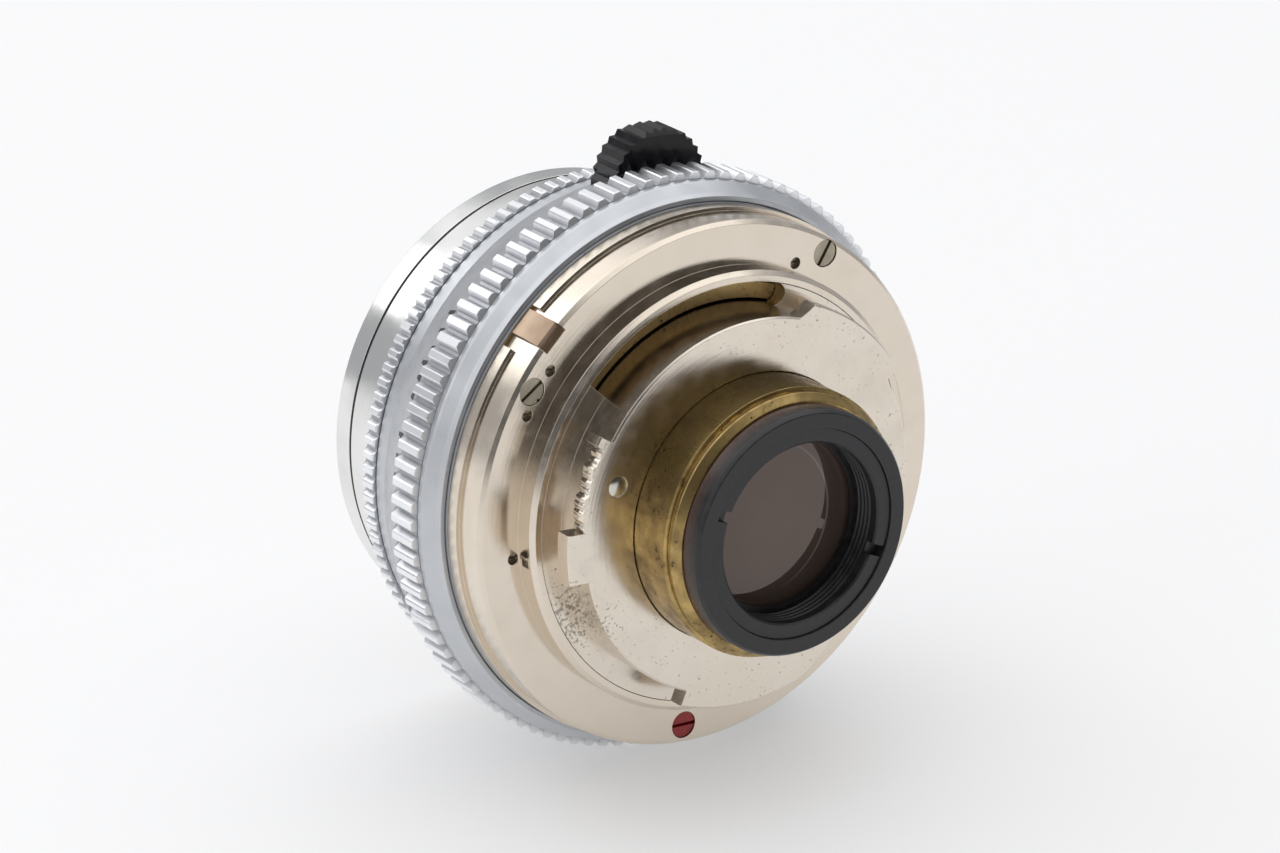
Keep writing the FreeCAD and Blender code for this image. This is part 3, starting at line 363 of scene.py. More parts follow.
# Mount housing
# An aluminium ring; only a thin band of it shows between the flange and the focus ring.
satin_aluminium = turned_metal("satin_aluminium", (0.58, 0.597, 0.62), (0.50, 0.52, 0.55), 0.36, 0.2, 0.003,
                               speck_colour=(0.16, 0.17, 0.19), speck_spacing=3.5, speck_size=0.2,
                               metallic=0.7)
finish_node("mount_housing", "housing_ring", "mount", satin_aluminium)


# Rear bezel of the focus ring
# Turned aluminium with a hollow flank that rises to the toothed ring, its corners broken.


def rounded_profile(corners, steps=6):
    """Closed profile (radius, y, corner radius) in mm with its corners made round.

    An arc of radius r touches both sides at r / tan(half the corner's angle) from the corner, and its
    middle lies r / sin(half the angle) away on the bisector. Returns points and their outward normals.
    """
    path = np.array([corner[:2] for corner in corners], float)
    radii = np.array([corner[2] for corner in corners], float)
    before = np.roll(path, 1, axis=0) - path
    after = np.roll(path, -1, axis=0) - path
    area = 0.5 * np.sum(path[:, 0] * np.roll(path[:, 1], -1) - np.roll(path[:, 0], -1) * path[:, 1])
    if area < 0:
        return rounded_profile(corners[::-1], steps)
    before /= np.linalg.norm(before, axis=1)[:, None]
    after /= np.linalg.norm(after, axis=1)[:, None]
    half = 0.5 * np.arccos(np.clip(np.sum(before * after, axis=1), -1, 1))
    bisector = before + after
    bisector /= np.maximum(np.linalg.norm(bisector, axis=1), 1e-9)[:, None]
    centre = path + bisector * (radii / np.sin(half))[:, None]
    turn = np.cross(-before, after)
    side = np.where(turn > 0, 1.0, -1.0)
    first = np.stack([-before[:, 1], before[:, 0]], axis=1)
    last = np.stack([after[:, 1], -after[:, 0]], axis=1)
    share = np.linspace(0, 1, steps)[None, :, None]
    swing = np.pi - 2 * half
    near = np.maximum(np.sin(swing), 1e-6)[:, None, None]
    sweep = swing[:, None, None]
    normals = (np.sin((1 - share) * sweep) * first[:, None] + np.sin(share * sweep) * last[:, None]) / near
    normals /= np.linalg.norm(normals, axis=2)[:, :, None]
    points = centre[:, None] + normals * (radii * side)[:, None, None]
    return points.reshape(-1, 2), normals.reshape(-1, 2)


def mesh_piece(name, points, faces, normals=None):
    """Piece from arrays of points in mm, faces and, if given, exact vertex normals."""
    mesh = bpy.data.meshes.new(name)
    mesh.from_pydata((points * MM).tolist(), [], faces.tolist())
    mesh.shade_smooth()
    if normals is not None:
        mesh.normals_split_custom_set_from_vertices(normals.tolist())
    piece = bpy.data.objects.new(name, mesh)
    bpy.context.collection.objects.link(piece)
    return piece


def turned_piece(name, corners, columns=segments_round):
    """Ring turned from a closed profile: (r cos a, y, r sin a) for each profile point and angle a."""
    profile, slope = rounded_profile(corners)
    angle = np.arange(columns) * 2 * np.pi / columns
    circle = np.stack([np.cos(angle), np.zeros(columns), np.sin(angle)], axis=1)
    axis = np.array([0.0, 1.0, 0.0])
    points = profile[:, 0, None, None] * circle + profile[:, 1, None, None] * axis
    normals = slope[:, 0, None, None] * circle + slope[:, 1, None, None] * axis
    return mesh_piece(name, points.reshape(-1, 3), grid_faces(len(profile), columns), normals.reshape(-1, 3))


bezel_low, bezel_high = box_mm("rear_bezel")
bezel_rear = bezel_high[1]
bezel_front = bezel_low[1]
bezel_outer = bezel_high[0]
bezel_lip = 24.46
bezel_lip_front = bezel_rear - 0.8
bezel_skirt = 25.48
bezel_bore = 25.02
bezel_shoulder = bezel_rear - 2.05
bezel_crown = bezel_outer - 1.06
sharp = 0.02
eased = 0.05
broken = 0.06
bezel_corners = ((bezel_bore, bezel_front, eased), (bezel_skirt, bezel_front, eased),
                 (bezel_skirt, bezel_shoulder, sharp), (bezel_outer, bezel_shoulder, broken),
                 (bezel_outer - 0.1, bezel_shoulder + 0.5, 0.8), (bezel_outer - 0.85, bezel_rear - 0.5, 0.5),
                 (bezel_crown, bezel_rear, broken), (bezel_lip, bezel_rear, broken),
                 (bezel_lip, bezel_lip_front, sharp), (bezel_bore, bezel_lip_front, sharp))
fit_piece(turned_piece("bezel_ring", bezel_corners), "focus", ["rear_bezel"],
          satin_aluminium)


# Toothed focus ring with its scale cone
# Turned aluminium. The teeth are milled straight, with tapered front ends, and a cone in front of
# them carries the distance scale. The bottoms of the teeth are darkened with painted shade as well as old
# grease and dust, and the cone is darkened evenly.


def toothed_aluminium(name):
    """Satin aluminium that is darker and rougher where the groove attribute says so: painted shade with old
    grease in the tooth valleys, an even darker tone elsewhere.
    """
    material, tree, shader = start_material(name)
    place = object_place(tree)
    groove = add_node(tree, "ShaderNodeAttribute", attribute_name="groove").outputs["Fac"]
    # Painted shade in the tooth valleys, together with old grease: darker where the groove attribute is high.
    grime_and_shade = combine(tree, "MULTIPLY", groove, scaled(tree, blotches(tree, place, 1.6), 0.8, 0.95))
    lines = turned_lines(tree, place, 5.0)
    dents = specks(tree, place, 2.8, 0.22)
    colour = mix_colour(tree, scaled(tree, lines, 0.0, 0.25), (0.88, 0.89, 0.91), (0.74, 0.76, 0.80))
    colour = mix_colour(tree, grime_and_shade, colour, (0.40, 0.41, 0.43))
    colour = mix_colour(tree, dents, colour, (0.25, 0.26, 0.28))
    tree.links.new(colour, shader.inputs["Base Color"])
    roughness = combine(tree, "ADD", scaled(tree, blotches(tree, place, 2.4), 0.30, 0.36),
                        scaled(tree, groove, 0.0, 0.16))
    tree.links.new(roughness, shader.inputs["Roughness"])
    shader.inputs["Metallic"].default_value = 1.0
    grain = noise(tree, place, 9.0, 3.0)
    height = combine(tree, "ADD", lines, combine(tree, "MULTIPLY", grain, 0.4))
    add_bump(tree, shader, height, 0.5, 0.006)
    return material


def toothed_piece(name, count, land, floor, edge, stations, sharp_degrees=8.0):
    """Ring whose radius depends on angle and station.

    A station is (y, radius in the grooves, how much of the tooth stands there, tooth height).
    The tooth is a trapezoid of the pitch's share: 0 on its floor, 1 on its land, with broken edges.
    """
    table = np.array(stations, float)
    slope = (1 - land - floor) / 2
    share = np.array([-0.5, -0.5 + floor / 2, -land / 2 - slope * edge, -land / 2 + land * edge * 0.6,
                      land / 2 - land * edge * 0.6, land / 2 + slope * edge, 0.5 - floor / 2])
    rise = np.array([0.0, 0.0, 1.0 - edge, 1.0, 1.0, 1.0 - edge, 0.0])
    pitch = 2 * np.pi / count
    angle = (np.arange(count)[:, None] * pitch + share[None] * pitch).ravel()
    tooth = np.tile(rise, count)
    radius = table[:, 1, None] + table[:, 2, None] * table[:, 3, None] * tooth[None]
    points = np.stack([radius * np.cos(angle), np.broadcast_to(table[:, 0, None], radius.shape),
                       radius * np.sin(angle)], axis=-1)
    piece = mesh_piece(name, points.reshape(-1, 3), grid_faces(len(table), len(angle)))
    piece.data.set_sharp_from_angle(angle=math.radians(sharp_degrees))
    groove = piece.data.attributes.new("groove", "FLOAT", "POINT")
    # Groove attribute: 1 minus the rise across the teeth, so the valleys get painted shade with grease; 0.8 on
    # the cone and other untoothed faces, which darkens them evenly.
    depth = np.where(table[:, 2, None] > 0, 1 - tooth[None], 0.8)
    groove.data.foreach_set("value", depth.astype(np.float32).ravel())
    return piece


focus_low, focus_high = box_mm("focus_ring")
focus_tip = focus_high[0]
focus_height = 0.61
focus_root = focus_tip - focus_height
focus_rear = -6.81
focus_teeth_front = focus_rear - 3.08
focus_cone_rear = focus_rear - 3.5
focus_cone_rear_radius = focus_root - 0.13
focus_front = focus_low[1]
focus_front_radius = 24.3
focus_bore = 22.06
focus_seat_front = focus_rear - 1.2
focus_seat_outer = bezel_skirt + 0.05
focus_seat_inner = bezel_bore - 0.12
focus_shoulder = focus_rear + 0.26
focus_teeth = 100
focus_tooth_land = 0.40
focus_tooth_floor = 0.18
tooth_edge = 0.14
focus_stations = ((focus_seat_front, focus_seat_outer, 0, 0), (focus_rear, focus_seat_outer, 0, 0),
                  (focus_rear, focus_root, 1, focus_height - broken),
                  (focus_rear - broken, focus_root, 1, focus_height),
                  (focus_teeth_front, focus_root, 1, focus_height),
                  (focus_cone_rear, focus_cone_rear_radius, 0, 0),
                  (focus_front + 0.1, focus_front_radius + 0.04, 0, 0),
                  (focus_front, focus_front_radius - broken, 0, 0), (focus_front, focus_bore, 0, 0),
                  (focus_shoulder, focus_bore, 0, 0), (focus_shoulder, focus_seat_inner, 0, 0),
                  (focus_seat_front, focus_seat_inner, 0, 0))
knurled_aluminium = toothed_aluminium("knurled_aluminium")
focus_piece = toothed_piece("focus_ring_toothed", focus_teeth, focus_tooth_land, focus_tooth_floor,
                            tooth_edge, focus_stations)
fit_piece(focus_piece, "focus", ["focus_ring"], knurled_aluminium)


# Distance scale on the cone
# Short engraved strokes filled with black paint, of different lengths, close to the teeth.


def cone_strokes(name, strokes, lift=0.012, across=4, along=5):
    """Thin patches on the scale cone.

    A stroke is (angle, width in degrees, rear y, front y); each point lies on the cone's straight line
    between its rear and front radius, lifted a little, at angle + u * width and y from rear to front.
    """
    table = np.array(strokes, float)
    u, v = np.meshgrid(np.linspace(-0.5, 0.5, across), np.linspace(0, 1, along), indexing="ij")
    angle = np.radians(table[:, 0, None, None] + u[None] * table[:, 1, None, None] * (1 - 0.5 * v[None]))
    y = table[:, 2, None, None] + v[None] * (table[:, 3] - table[:, 2])[:, None, None]
    share = (focus_cone_rear - y) / (focus_cone_rear - focus_front)
    radius = focus_cone_rear_radius + share * (focus_front_radius - focus_cone_rear_radius) + lift
    points = np.stack([radius * np.cos(angle), y, radius * np.sin(angle)], axis=-1).reshape(-1, 3)
    column, row = np.meshgrid(np.arange(across - 1), np.arange(along - 1), indexing="ij")
    corner = column * along + row
    patch = np.stack([corner, corner + 1, corner + along + 1, corner + along], axis=-1).reshape(-1, 4)
    faces = (patch[None] + across * along * np.arange(len(table))[:, None, None]).reshape(-1, 4)
    return mesh_piece(name, points, faces)


def flat_paint(name, paint, worn, rough):
    """Paint in an engraved line, broken and matte."""
    material, tree, shader = start_material(name)
    place = object_place(tree)
    gaps = blotches(tree, place, 0.35, low=0.5, high=0.7)
    tree.links.new(mix_colour(tree, gaps, paint, worn), shader.inputs["Base Color"])
    tree.links.new(scaled(tree, gaps, rough, rough + 0.2), shader.inputs["Roughness"])
    add_bump(tree, shader, gaps, 0.3, 0.01)
    return material


stroke_angles = (41.0, 37.0, 33.2, 30.0, 27.0, 23.2, 15.2, 11.0, 7.2)
stroke_lengths = (1.0, 0.7, 0.45, 1.0, 0.6, 0.45, 0.9, 0.6, 0.5)
stroke_width = 1.5
stroke_rear = focus_cone_rear - 0.2
stroke_shortest = focus_cone_rear - 0.6
strokes = [(angle + turn, stroke_width, stroke_rear, stroke_shortest - length)
           for turn in (0.0, 75.0, 150.0, 225.0) for angle, length in zip(stroke_angles, stroke_lengths)]
black_fill = flat_paint("black_scale_paint", (0.012, 0.012, 0.013), (0.05, 0.05, 0.055), 0.45)
scale_strokes = cone_strokes("scale_strokes", strokes)
scale_strokes.data.materials.append(black_fill)
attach(scale_strokes, "focus")


# Finger grips
# Half-round knobs of black plastic with ribs along the lens, pinned to the scale cone.


def gloss_plastic(name, colour):
    """Moulded gloss plastic with a faint orange-peel and dull smears."""
    material, tree, shader = start_material(name)
    place = object_place(tree)
    smears = blotches(tree, place, 1.3)
    tree.links.new(mix_colour(tree, smears, colour, tuple(channel * 1.9 for channel in colour)),
                   shader.inputs["Base Color"])
    tree.links.new(scaled(tree, smears, 0.14, 0.26), shader.inputs["Roughness"])
    shader.inputs["Specular IOR Level"].default_value = 0.28
    peel = noise(tree, place, 2.5, 2.0)
    add_bump(tree, shader, peel, 0.3, 0.02)
    return material


black_plastic = gloss_plastic("black_grip_plastic", (0.004, 0.004, 0.005))
for side in ("upper", "lower"):
    finish_node("finger_grip_" + side, "grip_" + side, "focus", black_plastic, 15.0)


# Index band
# A plain turned band in front of the scale, which does not turn.
band_low, band_high = box_mm("index_band")
band_outer = band_high[0]
band_rear = band_high[1]
band_step = -16.55
band_bearing = 22.6
band_bore = 22.0
band_front = band_low[1]
band_edge = 0.08
band_corners = ((band_bore, band_front, sharp), (band_bearing, band_front, sharp),
                (band_bearing, band_step, sharp), (band_outer, band_step, band_edge),
                (band_outer, band_rear, band_edge), (band_bore, band_rear, sharp))
fit_piece(turned_piece("index_band_ring", band_corners), "optics", ["index_band"],
          satin_aluminium)


# Aperture ring
# A narrow toothed ring of aluminium; its teeth are bevelled to both sides.
stop_low, stop_high = box_mm("aperture_ring")
stop_tip = stop_high[0]
stop_rear = stop_high[1]
stop_front = stop_low[1]
stop_height = 0.42
stop_root = stop_tip - stop_height
stop_bevel = 0.14
stop_bore = band_bearing + 0.05
stop_below_teeth = stop_root - 0.1
stop_teeth = 114
stop_tooth_land = 0.40
stop_tooth_floor = 0.14
stop_stations = ((stop_rear, stop_bore, 0, 0), (stop_rear, stop_below_teeth, 0, 0),
                 (stop_rear, stop_root, 1, stop_height - stop_bevel),
                 (stop_rear - stop_bevel, stop_root, 1, stop_height),
                 (stop_front + stop_bevel, stop_root, 1, stop_height),
                 (stop_front, stop_root, 1, stop_height - stop_bevel),
                 (stop_front, stop_below_teeth, 0, 0), (stop_front, stop_bore, 0, 0))
stop_piece = toothed_piece("aperture_ring_toothed", stop_teeth, stop_tooth_land, stop_tooth_floor, tooth_edge,
                           stop_stations)
fit_piece(stop_piece, "aperture", ["aperture_ring"], knurled_aluminium)


# Front barrel and front rim
# Turned brass with a polished chrome plate, and a groove between them filled with black enamel.


def chrome(name, rough):
    """Polished plate with fine wiping scratches around the lens."""
    material, tree, shader = start_material(name)
    place = object_place(tree)
    smears = blotches(tree, place, 5.0)
    hairlines = turned_lines(tree, place, 9.0)
    colour = mix_colour(tree, scaled(tree, smears, 0.0, 0.35), (0.80, 0.80, 0.79), (0.66, 0.66, 0.63))
    tree.links.new(colour, shader.inputs["Base Color"])
    tree.links.new(scaled(tree, smears, rough, rough * 1.8), shader.inputs["Roughness"])
    shader.inputs["Metallic"].default_value = 1.0
    add_bump(tree, shader, hairlines, 0.25, 0.002)
    return material


chrome_plate = chrome("chrome_plate_polished", 0.14)
barrel_low, barrel_high = box_mm("front_barrel")
rim_low, rim_high = box_mm("front_rim")
barrel_outer = rim_high[0]
barrel_groove_rear = -24.45
barrel_neck = barrel_outer - 0.4
barrel_collar = barrel_high[0]
barrel_bore = 20.2
barrel_rear_bore = 19.4
barrel_spigot = 20.55
barrel_rear = barrel_high[1]
barrel_front = barrel_low[1]
collar_rear = -18.3
collar_front = -18.8
barrel_shoulder = -23.4
barrel_corners = ((barrel_rear_bore, barrel_rear, eased), (barrel_spigot, barrel_rear, eased),
                  (barrel_spigot, collar_rear, sharp), (barrel_collar, collar_rear, broken),
                  (barrel_collar, collar_front, broken), (barrel_outer, collar_front, 0.04),
                  (barrel_outer, barrel_groove_rear, eased), (barrel_neck, barrel_groove_rear, sharp),
                  (barrel_neck, barrel_front, sharp), (barrel_bore, barrel_front, sharp),
                  (barrel_bore, barrel_shoulder, sharp), (barrel_rear_bore, barrel_shoulder, sharp))
fit_piece(turned_piece("barrel_chrome", barrel_corners), "optics", ["front_barrel"],
          chrome_plate)


def threaded_inside(radius, rear, front, pitch=0.5, depth=0.14, flat=0.04):
    """Corners of a fine inner thread, as V grooves one pitch apart, from rear to front."""
    count = int((rear - front) / pitch)
    corners = []
    for index in range(count):
        y = rear - (index + 0.25) * pitch
        corners += [(radius, y, flat), (radius + depth, y - pitch * 0.35, flat),
                    (radius, y - pitch * 0.7, flat)]
    return corners


rim_bore = 19.75
rim_rear = rim_high[1]
rim_front = rim_low[1]
rim_thread_rear = rim_front + 1.6
rim_corners = [(barrel_bore, rim_rear, sharp), (barrel_bore, rim_thread_rear, sharp),
               (rim_bore, rim_thread_rear, 0.04)]
rim_corners += threaded_inside(rim_bore, rim_thread_rear - 0.05, rim_front + 0.1)
rim_corners += [(rim_bore, rim_front, 0.08), (barrel_outer - 0.15, rim_front, 0.12),
                (barrel_outer, rim_front + 0.25, 0.15), (barrel_outer, rim_rear, eased)]
fit_piece(turned_piece("rim_chrome", rim_corners), "optics", ["front_rim"], chrome_plate)

groove_low, groove_high = box_mm("groove_inlay")
enamel = flat_paint("black_groove_enamel", (0.008, 0.008, 0.008), (0.02, 0.02, 0.02), 0.35)
groove_floor = barrel_neck + 0.01
groove_edge = 0.03
groove_corners = ((groove_floor, groove_low[1], sharp), (groove_high[0], groove_low[1], groove_edge),
                  (groove_high[0], groove_high[1], groove_edge), (groove_floor, groove_high[1], sharp))
fit_piece(turned_piece("groove_enamel", groove_corners), "optics", ["groove_inlay"], enamel)


# Rear lens tube
# Turned brass, brown with age and handling, with a narrow groove full of dirt and a bright rim.


def aged_brass(name, dark_share, bright=(0.52, 0.37, 0.145)):
    """Brass that browned unevenly, with dark specks."""
    material, tree, shader = start_material(name)
    place = object_place(tree)
    lines = turned_lines(tree, place, 6.0)
    tarnish = blotches(tree, place, 1.8, detail=9.0, low=0.34, high=0.66)
    grime = blotches(tree, place, 0.5, detail=5.0, low=0.58, high=0.72)
    pits = specks(tree, place, 0.8, 0.14)
    colour = mix_colour(tree, scaled(tree, tarnish, 0.0, dark_share), bright, (0.16, 0.11, 0.05))
    colour = mix_colour(tree, scaled(tree, lines, 0.0, 0.3), colour, (0.40, 0.28, 0.12))
    dirty = combine(tree, "MAXIMUM", combine(tree, "MULTIPLY", grime, scaled(tree, tarnish, 0.1, 0.9)), pits)
    colour = mix_colour(tree, dirty, colour, (0.06, 0.04, 0.025))
    tree.links.new(colour, shader.inputs["Base Color"])
    roughness = combine(tree, "ADD", scaled(tree, tarnish, 0.24, 0.4), scaled(tree, dirty, 0.0, 0.3))
    tree.links.new(roughness, shader.inputs["Roughness"])
    shader.inputs["Metallic"].default_value = 1.0
    height = combine(tree, "SUBTRACT", lines, dirty)
    add_bump(tree, shader, height, 0.5, 0.008)
    turned_tangent(tree, shader, place, 0.4)
    return material


tube_brass = aged_brass("aged_brass_tube", 0.85)
tube_low, tube_high = box_mm("lens_tube")
tube_outer = tube_high[0] + 0.07
tube_bore = 10.7
tube_rear = tube_high[1]
tube_groove = tube_rear - 1.3
tube_rim = 11.95
tube_front = tube_low[1]
tube_groove_floor = tube_outer - 0.42
tube_mouth = 11.3
tube_corners = ((tube_bore, tube_front, eased), (tube_outer, tube_front, eased),
                (tube_outer, tube_groove, broken), (tube_groove_floor, tube_groove + 0.12, 0.04),
                (tube_groove_floor, tube_groove + 0.22, 0.04), (tube_rim, tube_groove + 0.32, eased),
                (tube_rim, tube_rear - 0.6, 0.2),
                (tube_mouth, tube_rear, 0.15), (tube_bore, tube_rear, sharp))
fit_piece(turned_piece("tube_brass", tube_corners), "optics", ["lens_tube"], tube_brass)


# Rear cell and its retaining ring
# Black anodised rings. The cell's edge near the brass is worn brown; the ring inside it has two
# spanner slots and a fine thread, and holds the rear glass.


def black_ring(name, worn_low, worn_high):
    """Satin black that goes brown between two stations on the axis, with a dusty bloom."""
    material, tree, shader = start_material(name)
    place = object_place(tree)
    worn = remap(tree, coordinate(tree, place, "Y"), worn_high, worn_low)
    dust = blotches(tree, place, 0.8, detail=6.0)
    lint = specks(tree, place, 1.5, 0.08)
    colour = mix_colour(tree, worn, (0.012, 0.0125, 0.014), (0.075, 0.042, 0.034))
    colour = mix_colour(tree, scaled(tree, dust, 0.0, 0.25), colour, (0.05, 0.05, 0.055))
    colour = mix_colour(tree, lint, colour, (0.25, 0.25, 0.25))
    tree.links.new(colour, shader.inputs["Base Color"])
    roughness = combine(tree, "SUBTRACT", scaled(tree, dust, 0.34, 0.46), scaled(tree, worn, 0.0, 0.12))
    tree.links.new(roughness, shader.inputs["Roughness"])
    lines = turned_lines(tree, place, 7.0)
    add_bump(tree, shader, lines, 0.4, 0.006)
    return material


cell_low, cell_high = box_mm("rear_cell")
cell_rear = cell_high[1]
cell_flange = cell_high[0]
cell_bore = 9.5
cell_front = cell_low[1]
cell_body = 10.65
cell_inner_bore = 8.4
cell_seat_rear = 6.9
cell_seat_front = 6.5
rear_black = black_ring("rear_cell_black", tube_rear + 0.2, tube_rear + 1.5)
cell_corners = ((cell_inner_bore, cell_front, eased), (cell_body, cell_front, eased),
                (cell_body, tube_rear, sharp), (cell_flange, tube_rear, eased),
                (cell_flange - 0.05, cell_rear - 0.35, 0.2), (cell_flange - 0.3, cell_rear, 0.15),
                (cell_bore, cell_rear, 0.08), (cell_bore, cell_seat_rear, sharp),
                (cell_inner_bore, cell_seat_front, sharp))
fit_piece(turned_piece("rear_cell_ring", cell_corners), "optics", ["rear_cell"], rear_black)
unworn = (-90.0, -80.0)
inner_black = black_ring("retaining_ring_black", *unworn)
finish_node("rear_retaining_ring", "slotted_ring", "optics", inner_black)


# Glass
# Ground and polished elements; the outer faces are coated, so they mirror a warm brown and pink. The glass is
# opaque, and a bright ring on it is a painted highlight for the edge of an element inside.


def domed_piece(name, radius, low_vertex, high_vertex, low_bulge, high_bulge, rows=24, columns=180):
    """Lens with two spherical faces and a plain edge.

    A face's height at r is its vertex plus c - sqrt(c * c - r * r) towards its edge, with the sphere's
    radius c = (R * R + b * b) / 2b for a bulge b. The rows run from one pole to the other.
    """
    def face(vertex, bulge, outward):
        r = np.linspace(0, radius, rows)
        sphere = (radius ** 2 + bulge ** 2) / (2 * abs(bulge))
        drop = np.sign(bulge) * (sphere - np.sqrt(sphere ** 2 - r ** 2))
        tilt = np.sign(bulge) * r / sphere
        normal = np.stack([tilt, outward * np.sqrt(1 - tilt ** 2)], axis=1)
        return np.stack([r, vertex - outward * drop], axis=1), normal
    front, front_normal = face(low_vertex, low_bulge, -1.0)
    rear, rear_normal = face(high_vertex, high_bulge, 1.0)
    edge = np.array([[radius, front[-1, 1]], [radius, rear[-1, 1]]])
    edge_normal = np.array([[1.0, 0.0], [1.0, 0.0]])
    profile = np.concatenate([front[1:], edge, rear[:0:-1]])
    slope = np.concatenate([front_normal[1:], edge_normal, rear_normal[:0:-1]])
    angle = np.arange(columns) * 2 * np.pi / columns
    circle = np.stack([np.cos(angle), np.zeros(columns), np.sin(angle)], axis=1)
    axis = np.array([0.0, 1.0, 0.0])
    points = (profile[:, 0, None, None] * circle + profile[:, 1, None, None] * axis).reshape(-1, 3)
    normals = (slope[:, 0, None, None] * circle + slope[:, 1, None, None] * axis).reshape(-1, 3)
    poles = np.array([[0, front[0, 1], 0], [0, rear[0, 1], 0]])
    quads = grid_faces(len(profile), columns)[: (len(profile) - 1) * columns]
    column = np.arange(columns)
    beside = (column + 1) % columns
    count = len(points)
    last = (len(profile) - 1) * columns
    fans = [(count, int(a), int(b)) for a, b in zip(column, beside)]
    fans += [(count + 1, int(last + b), int(last + a)) for a, b in zip(column, beside)]
    mesh = bpy.data.meshes.new(name)
    mesh.from_pydata((np.concatenate([points, poles]) * MM).tolist(), [], quads.tolist() + fans)
    mesh.shade_smooth()
    all_normals = np.concatenate([normals, [[0, -1, 0], [0, 1, 0]]])
    mesh.normals_split_custom_set_from_vertices(all_normals.tolist())
    piece = bpy.data.objects.new(name, mesh)
    bpy.context.collection.objects.link(piece)
    return piece


def coated_glass(name, body_colour, glint_radius, glint_centre):
    """Dark coated glass; a faint bright ring is a painted highlight that stands for the edge of the element
    inside it.
    """
    material, tree, shader = start_material(name)
    place = object_place(tree)
    # Painted highlight: a thin bright ring around a centre stands for the lit edge of an inner element, at up
    # to half strength and only on the -X side.
    moved = combine_vectors(tree, "SUBTRACT", place, glint_centre)
    off = combine(tree, "ABSOLUTE", combine(tree, "SUBTRACT", axis_distance(tree, moved), glint_radius), 0.0)
    ring = remap(tree, off, 0.14, 0.02)
    glint_side = remap(tree, coordinate(tree, place, "X"), 0.0, -5.0, 0.0, 0.5)
    bloom = blotches(tree, place, 3.0)
    colour = mix_colour(tree, scaled(tree, bloom, 0.0, 0.3), body_colour, tuple(0.7 * c for c in body_colour))
    colour = mix_colour(tree, combine(tree, "MULTIPLY", ring, glint_side), colour, (0.40, 0.34, 0.35))
    dust = specks(tree, place, 1.6, 0.06)
    colour = mix_colour(tree, dust, colour, (0.4, 0.35, 0.36))
    tree.links.new(colour, shader.inputs["Base Color"])
    tree.links.new(scaled(tree, bloom, 0.02, 0.05), shader.inputs["Roughness"])
    shader.inputs["IOR"].default_value = 1.75
    shader.inputs["Specular Tint"].default_value = (1.0, 0.84, 0.76, 1.0)
    add_bump(tree, shader, dust, 0.2, 0.004)
    return material


rear_low, rear_high = box_mm("rear_glass")
rear_coating = coated_glass("rear_glass_coated", (0.088, 0.062, 0.050), glint_radius=7.1,
                            glint_centre=(1.6, 0.0, 0.4))
rear_lens = domed_piece("rear_element", rear_high[0] - 0.02, rear_low[1] + 0.02, rear_high[1] - 0.12,
                        low_bulge=0.6, high_bulge=0.25)
fit_piece(rear_lens, "optics", ["rear_glass"], rear_coating)
front_low, front_high = box_mm("front_glass")
front_coating = coated_glass("front_glass_coated", (0.030, 0.022, 0.040), glint_radius=10.5,
                             glint_centre=(0.0, 0.0, 0.0))
front_lens = domed_piece("front_element", front_high[0], front_low[1], front_high[1] - 0.6,
                         low_bulge=2.2, high_bulge=-0.6)
fit_piece(front_lens, "optics", ["front_glass"], front_coating)


# Front cell and name ring
# Black rings seen from the front, around the front glass; the name ring is left blank.
front_black = black_ring("front_cell_black", *unworn)
finish_node("name_ring", "blank_name_ring", "optics", front_black)
finish_node("front_cell", "front_cell_ring", "optics", front_black)


# Coupling ring behind the curved slot
# Turned brass that carries the aperture setting to the camera; it slides under the lug ring.
ring_brass = aged_brass("aged_brass_ring", 0.3, (0.90, 0.66, 0.30))
finish_node("aperture_coupling_ring", "coupling_ring_brass", "coupling", ring_brass)


# Parts inside the lens
# Carrier, guide, iris, link and inner glass keep their CAD shapes, each with the finish of its metal.
blade_black = black_ring("blade_black", *unworn)
inner_finish = {"aged_brass": tube_brass, "black_anodised": inner_black, "coated_glass": front_coating,
                "screw_steel": screw_metal, "bright_steel": rivet_steel, "blade_steel": blade_black,
                "satin_aluminium": satin_aluminium, "chrome_plate": chrome_plate}
for entry in frame["record"]["subparts"]:
    node_object = frame["nodes"][entry["node"]]
    finish = inner_finish.get(entry["material_slot"])
    if finish is not None and not node_object.hide_render:
        node_object.data.materials.clear()
        node_object.data.materials.append(finish)


# Table, light and camera
# A pale table that runs on as a backdrop, large soft lights, and a long lens above and behind.
table_size = 6.0
bpy.ops.mesh.primitive_plane_add(size=table_size, location=(0, 0, cad_low[2]))
table = bpy.context.object
table.name = "pale_table"
table_paint, _, table_shader = start_material("pale_table_paint")
table_shader.inputs["Base Color"].default_value = (0.58, 0.58, 0.585, 1.0)
table_shader.inputs["Emission Color"].default_value = (1.0, 1.0, 1.0, 1.0)
table_shader.inputs["Emission Strength"].default_value = 0.36
table_shader.inputs["Roughness"].default_value = 0.6
table.data.materials.append(table_paint)


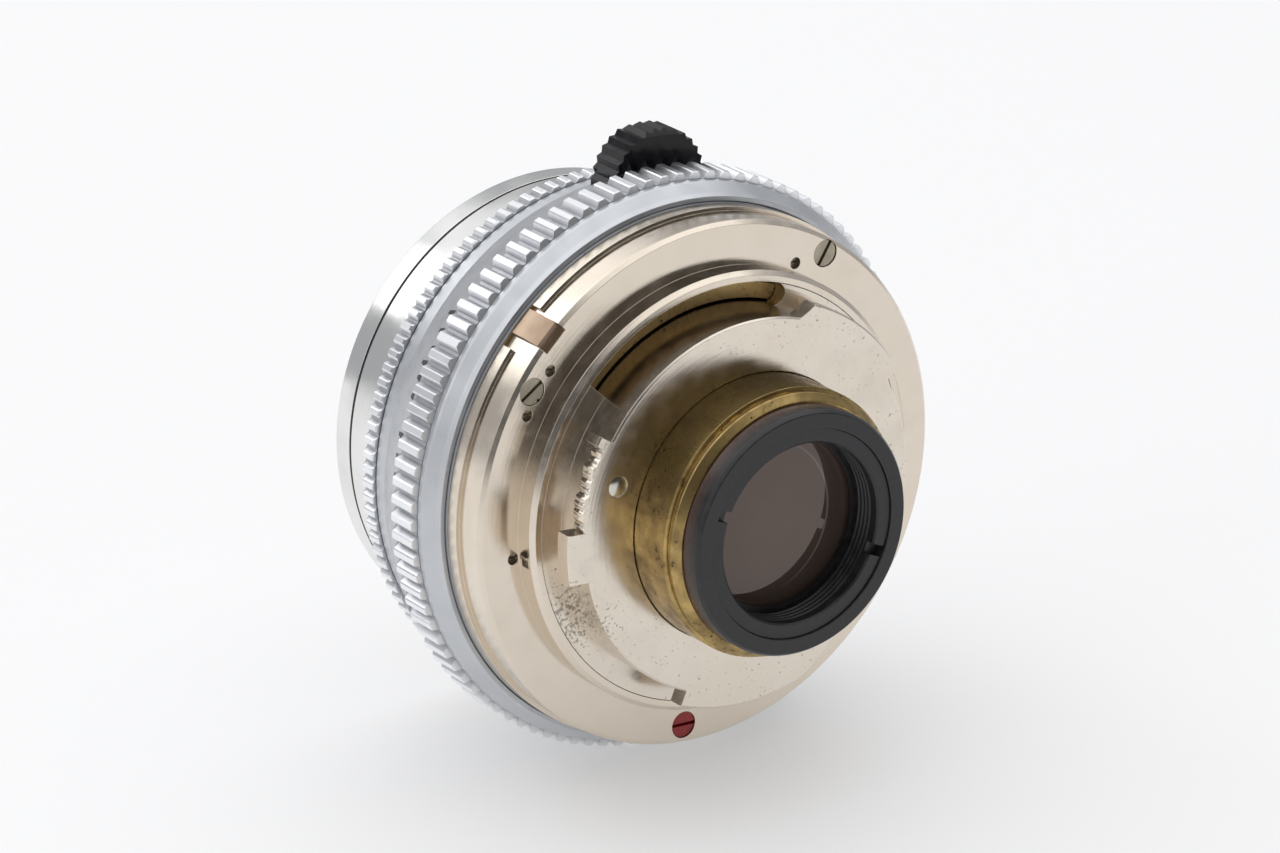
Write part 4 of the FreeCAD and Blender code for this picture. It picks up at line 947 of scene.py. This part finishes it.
def soft_light(name, place, width, height, power):
    """Rectangular area light at a place, aimed at the lens; metres and watts."""
    data = bpy.data.lights.new(name, "AREA")
    data.shape = "RECTANGLE"
    data.size = width
    data.size_y = height
    data.energy = power
    lamp = bpy.data.objects.new(name, data)
    bpy.context.collection.objects.link(lamp)
    lamp.location = place
    lamp.rotation_mode = "QUATERNION"
    lamp.rotation_quaternion = (-Vector(place)).to_track_quat("-Z", "Y")


soft_light("softbox_top", (0.0, -0.2, 1.4), width=3.2, height=2.8, power=29.0)
soft_light("strip_behind", (0.50, -1.07, 0.78), width=0.46, height=0.6, power=1.3)
soft_light("softbox_left", (1.5, 0.2, 0.7), width=0.9, height=0.8, power=2.6)

room_dark = 0.06
room_bright = 0.46
world = bpy.data.worlds.new("pale_room")
bpy.context.scene.world = world
world.use_nodes = True
room = world.node_tree
background = room.nodes["Background"]
background.inputs["Color"].default_value = (0.96, 0.97, 1.0, 1.0)
direction = add_node(room, "ShaderNodeTexCoord").outputs["Generated"]
toward_front = coordinate(room, direction, "Y")
glow = add_node(room, "ShaderNodeMapRange", {0: toward_front, 1: 0.85, 2: -0.1, 3: room_dark, 4: room_bright},
                interpolation_type="SMOOTHSTEP").outputs[0]
room.links.new(glow, background.inputs["Strength"])

camera_azimuth = math.radians(145.0)
camera_elevation = math.radians(21.2)
camera_distance = 489.5 * MM
camera_right_shift = -6.05 * MM
camera_up_shift = 5.17 * MM
focal_length = 157.8
back = np.array([math.sin(camera_azimuth) * math.cos(camera_elevation),
                 -math.cos(camera_azimuth) * math.cos(camera_elevation), math.sin(camera_elevation)])
right = np.cross([0.0, 0.0, 1.0], back)
right /= np.linalg.norm(right)
up = np.cross(back, right)
camera_data = bpy.data.cameras.new("camera")
camera_data.lens = focal_length
camera_data.sensor_width = 36.0
camera_data.clip_start = 0.05
camera_data.clip_end = 20.0
camera = bpy.data.objects.new("camera", camera_data)
bpy.context.collection.objects.link(camera)
camera.location = back * camera_distance + right * camera_right_shift + up * camera_up_shift
camera.rotation_euler = (math.pi / 2 - camera_elevation, 0.0, camera_azimuth)
bpy.context.scene.camera = camera
bpy.context.scene.view_settings.view_transform = "Standard"
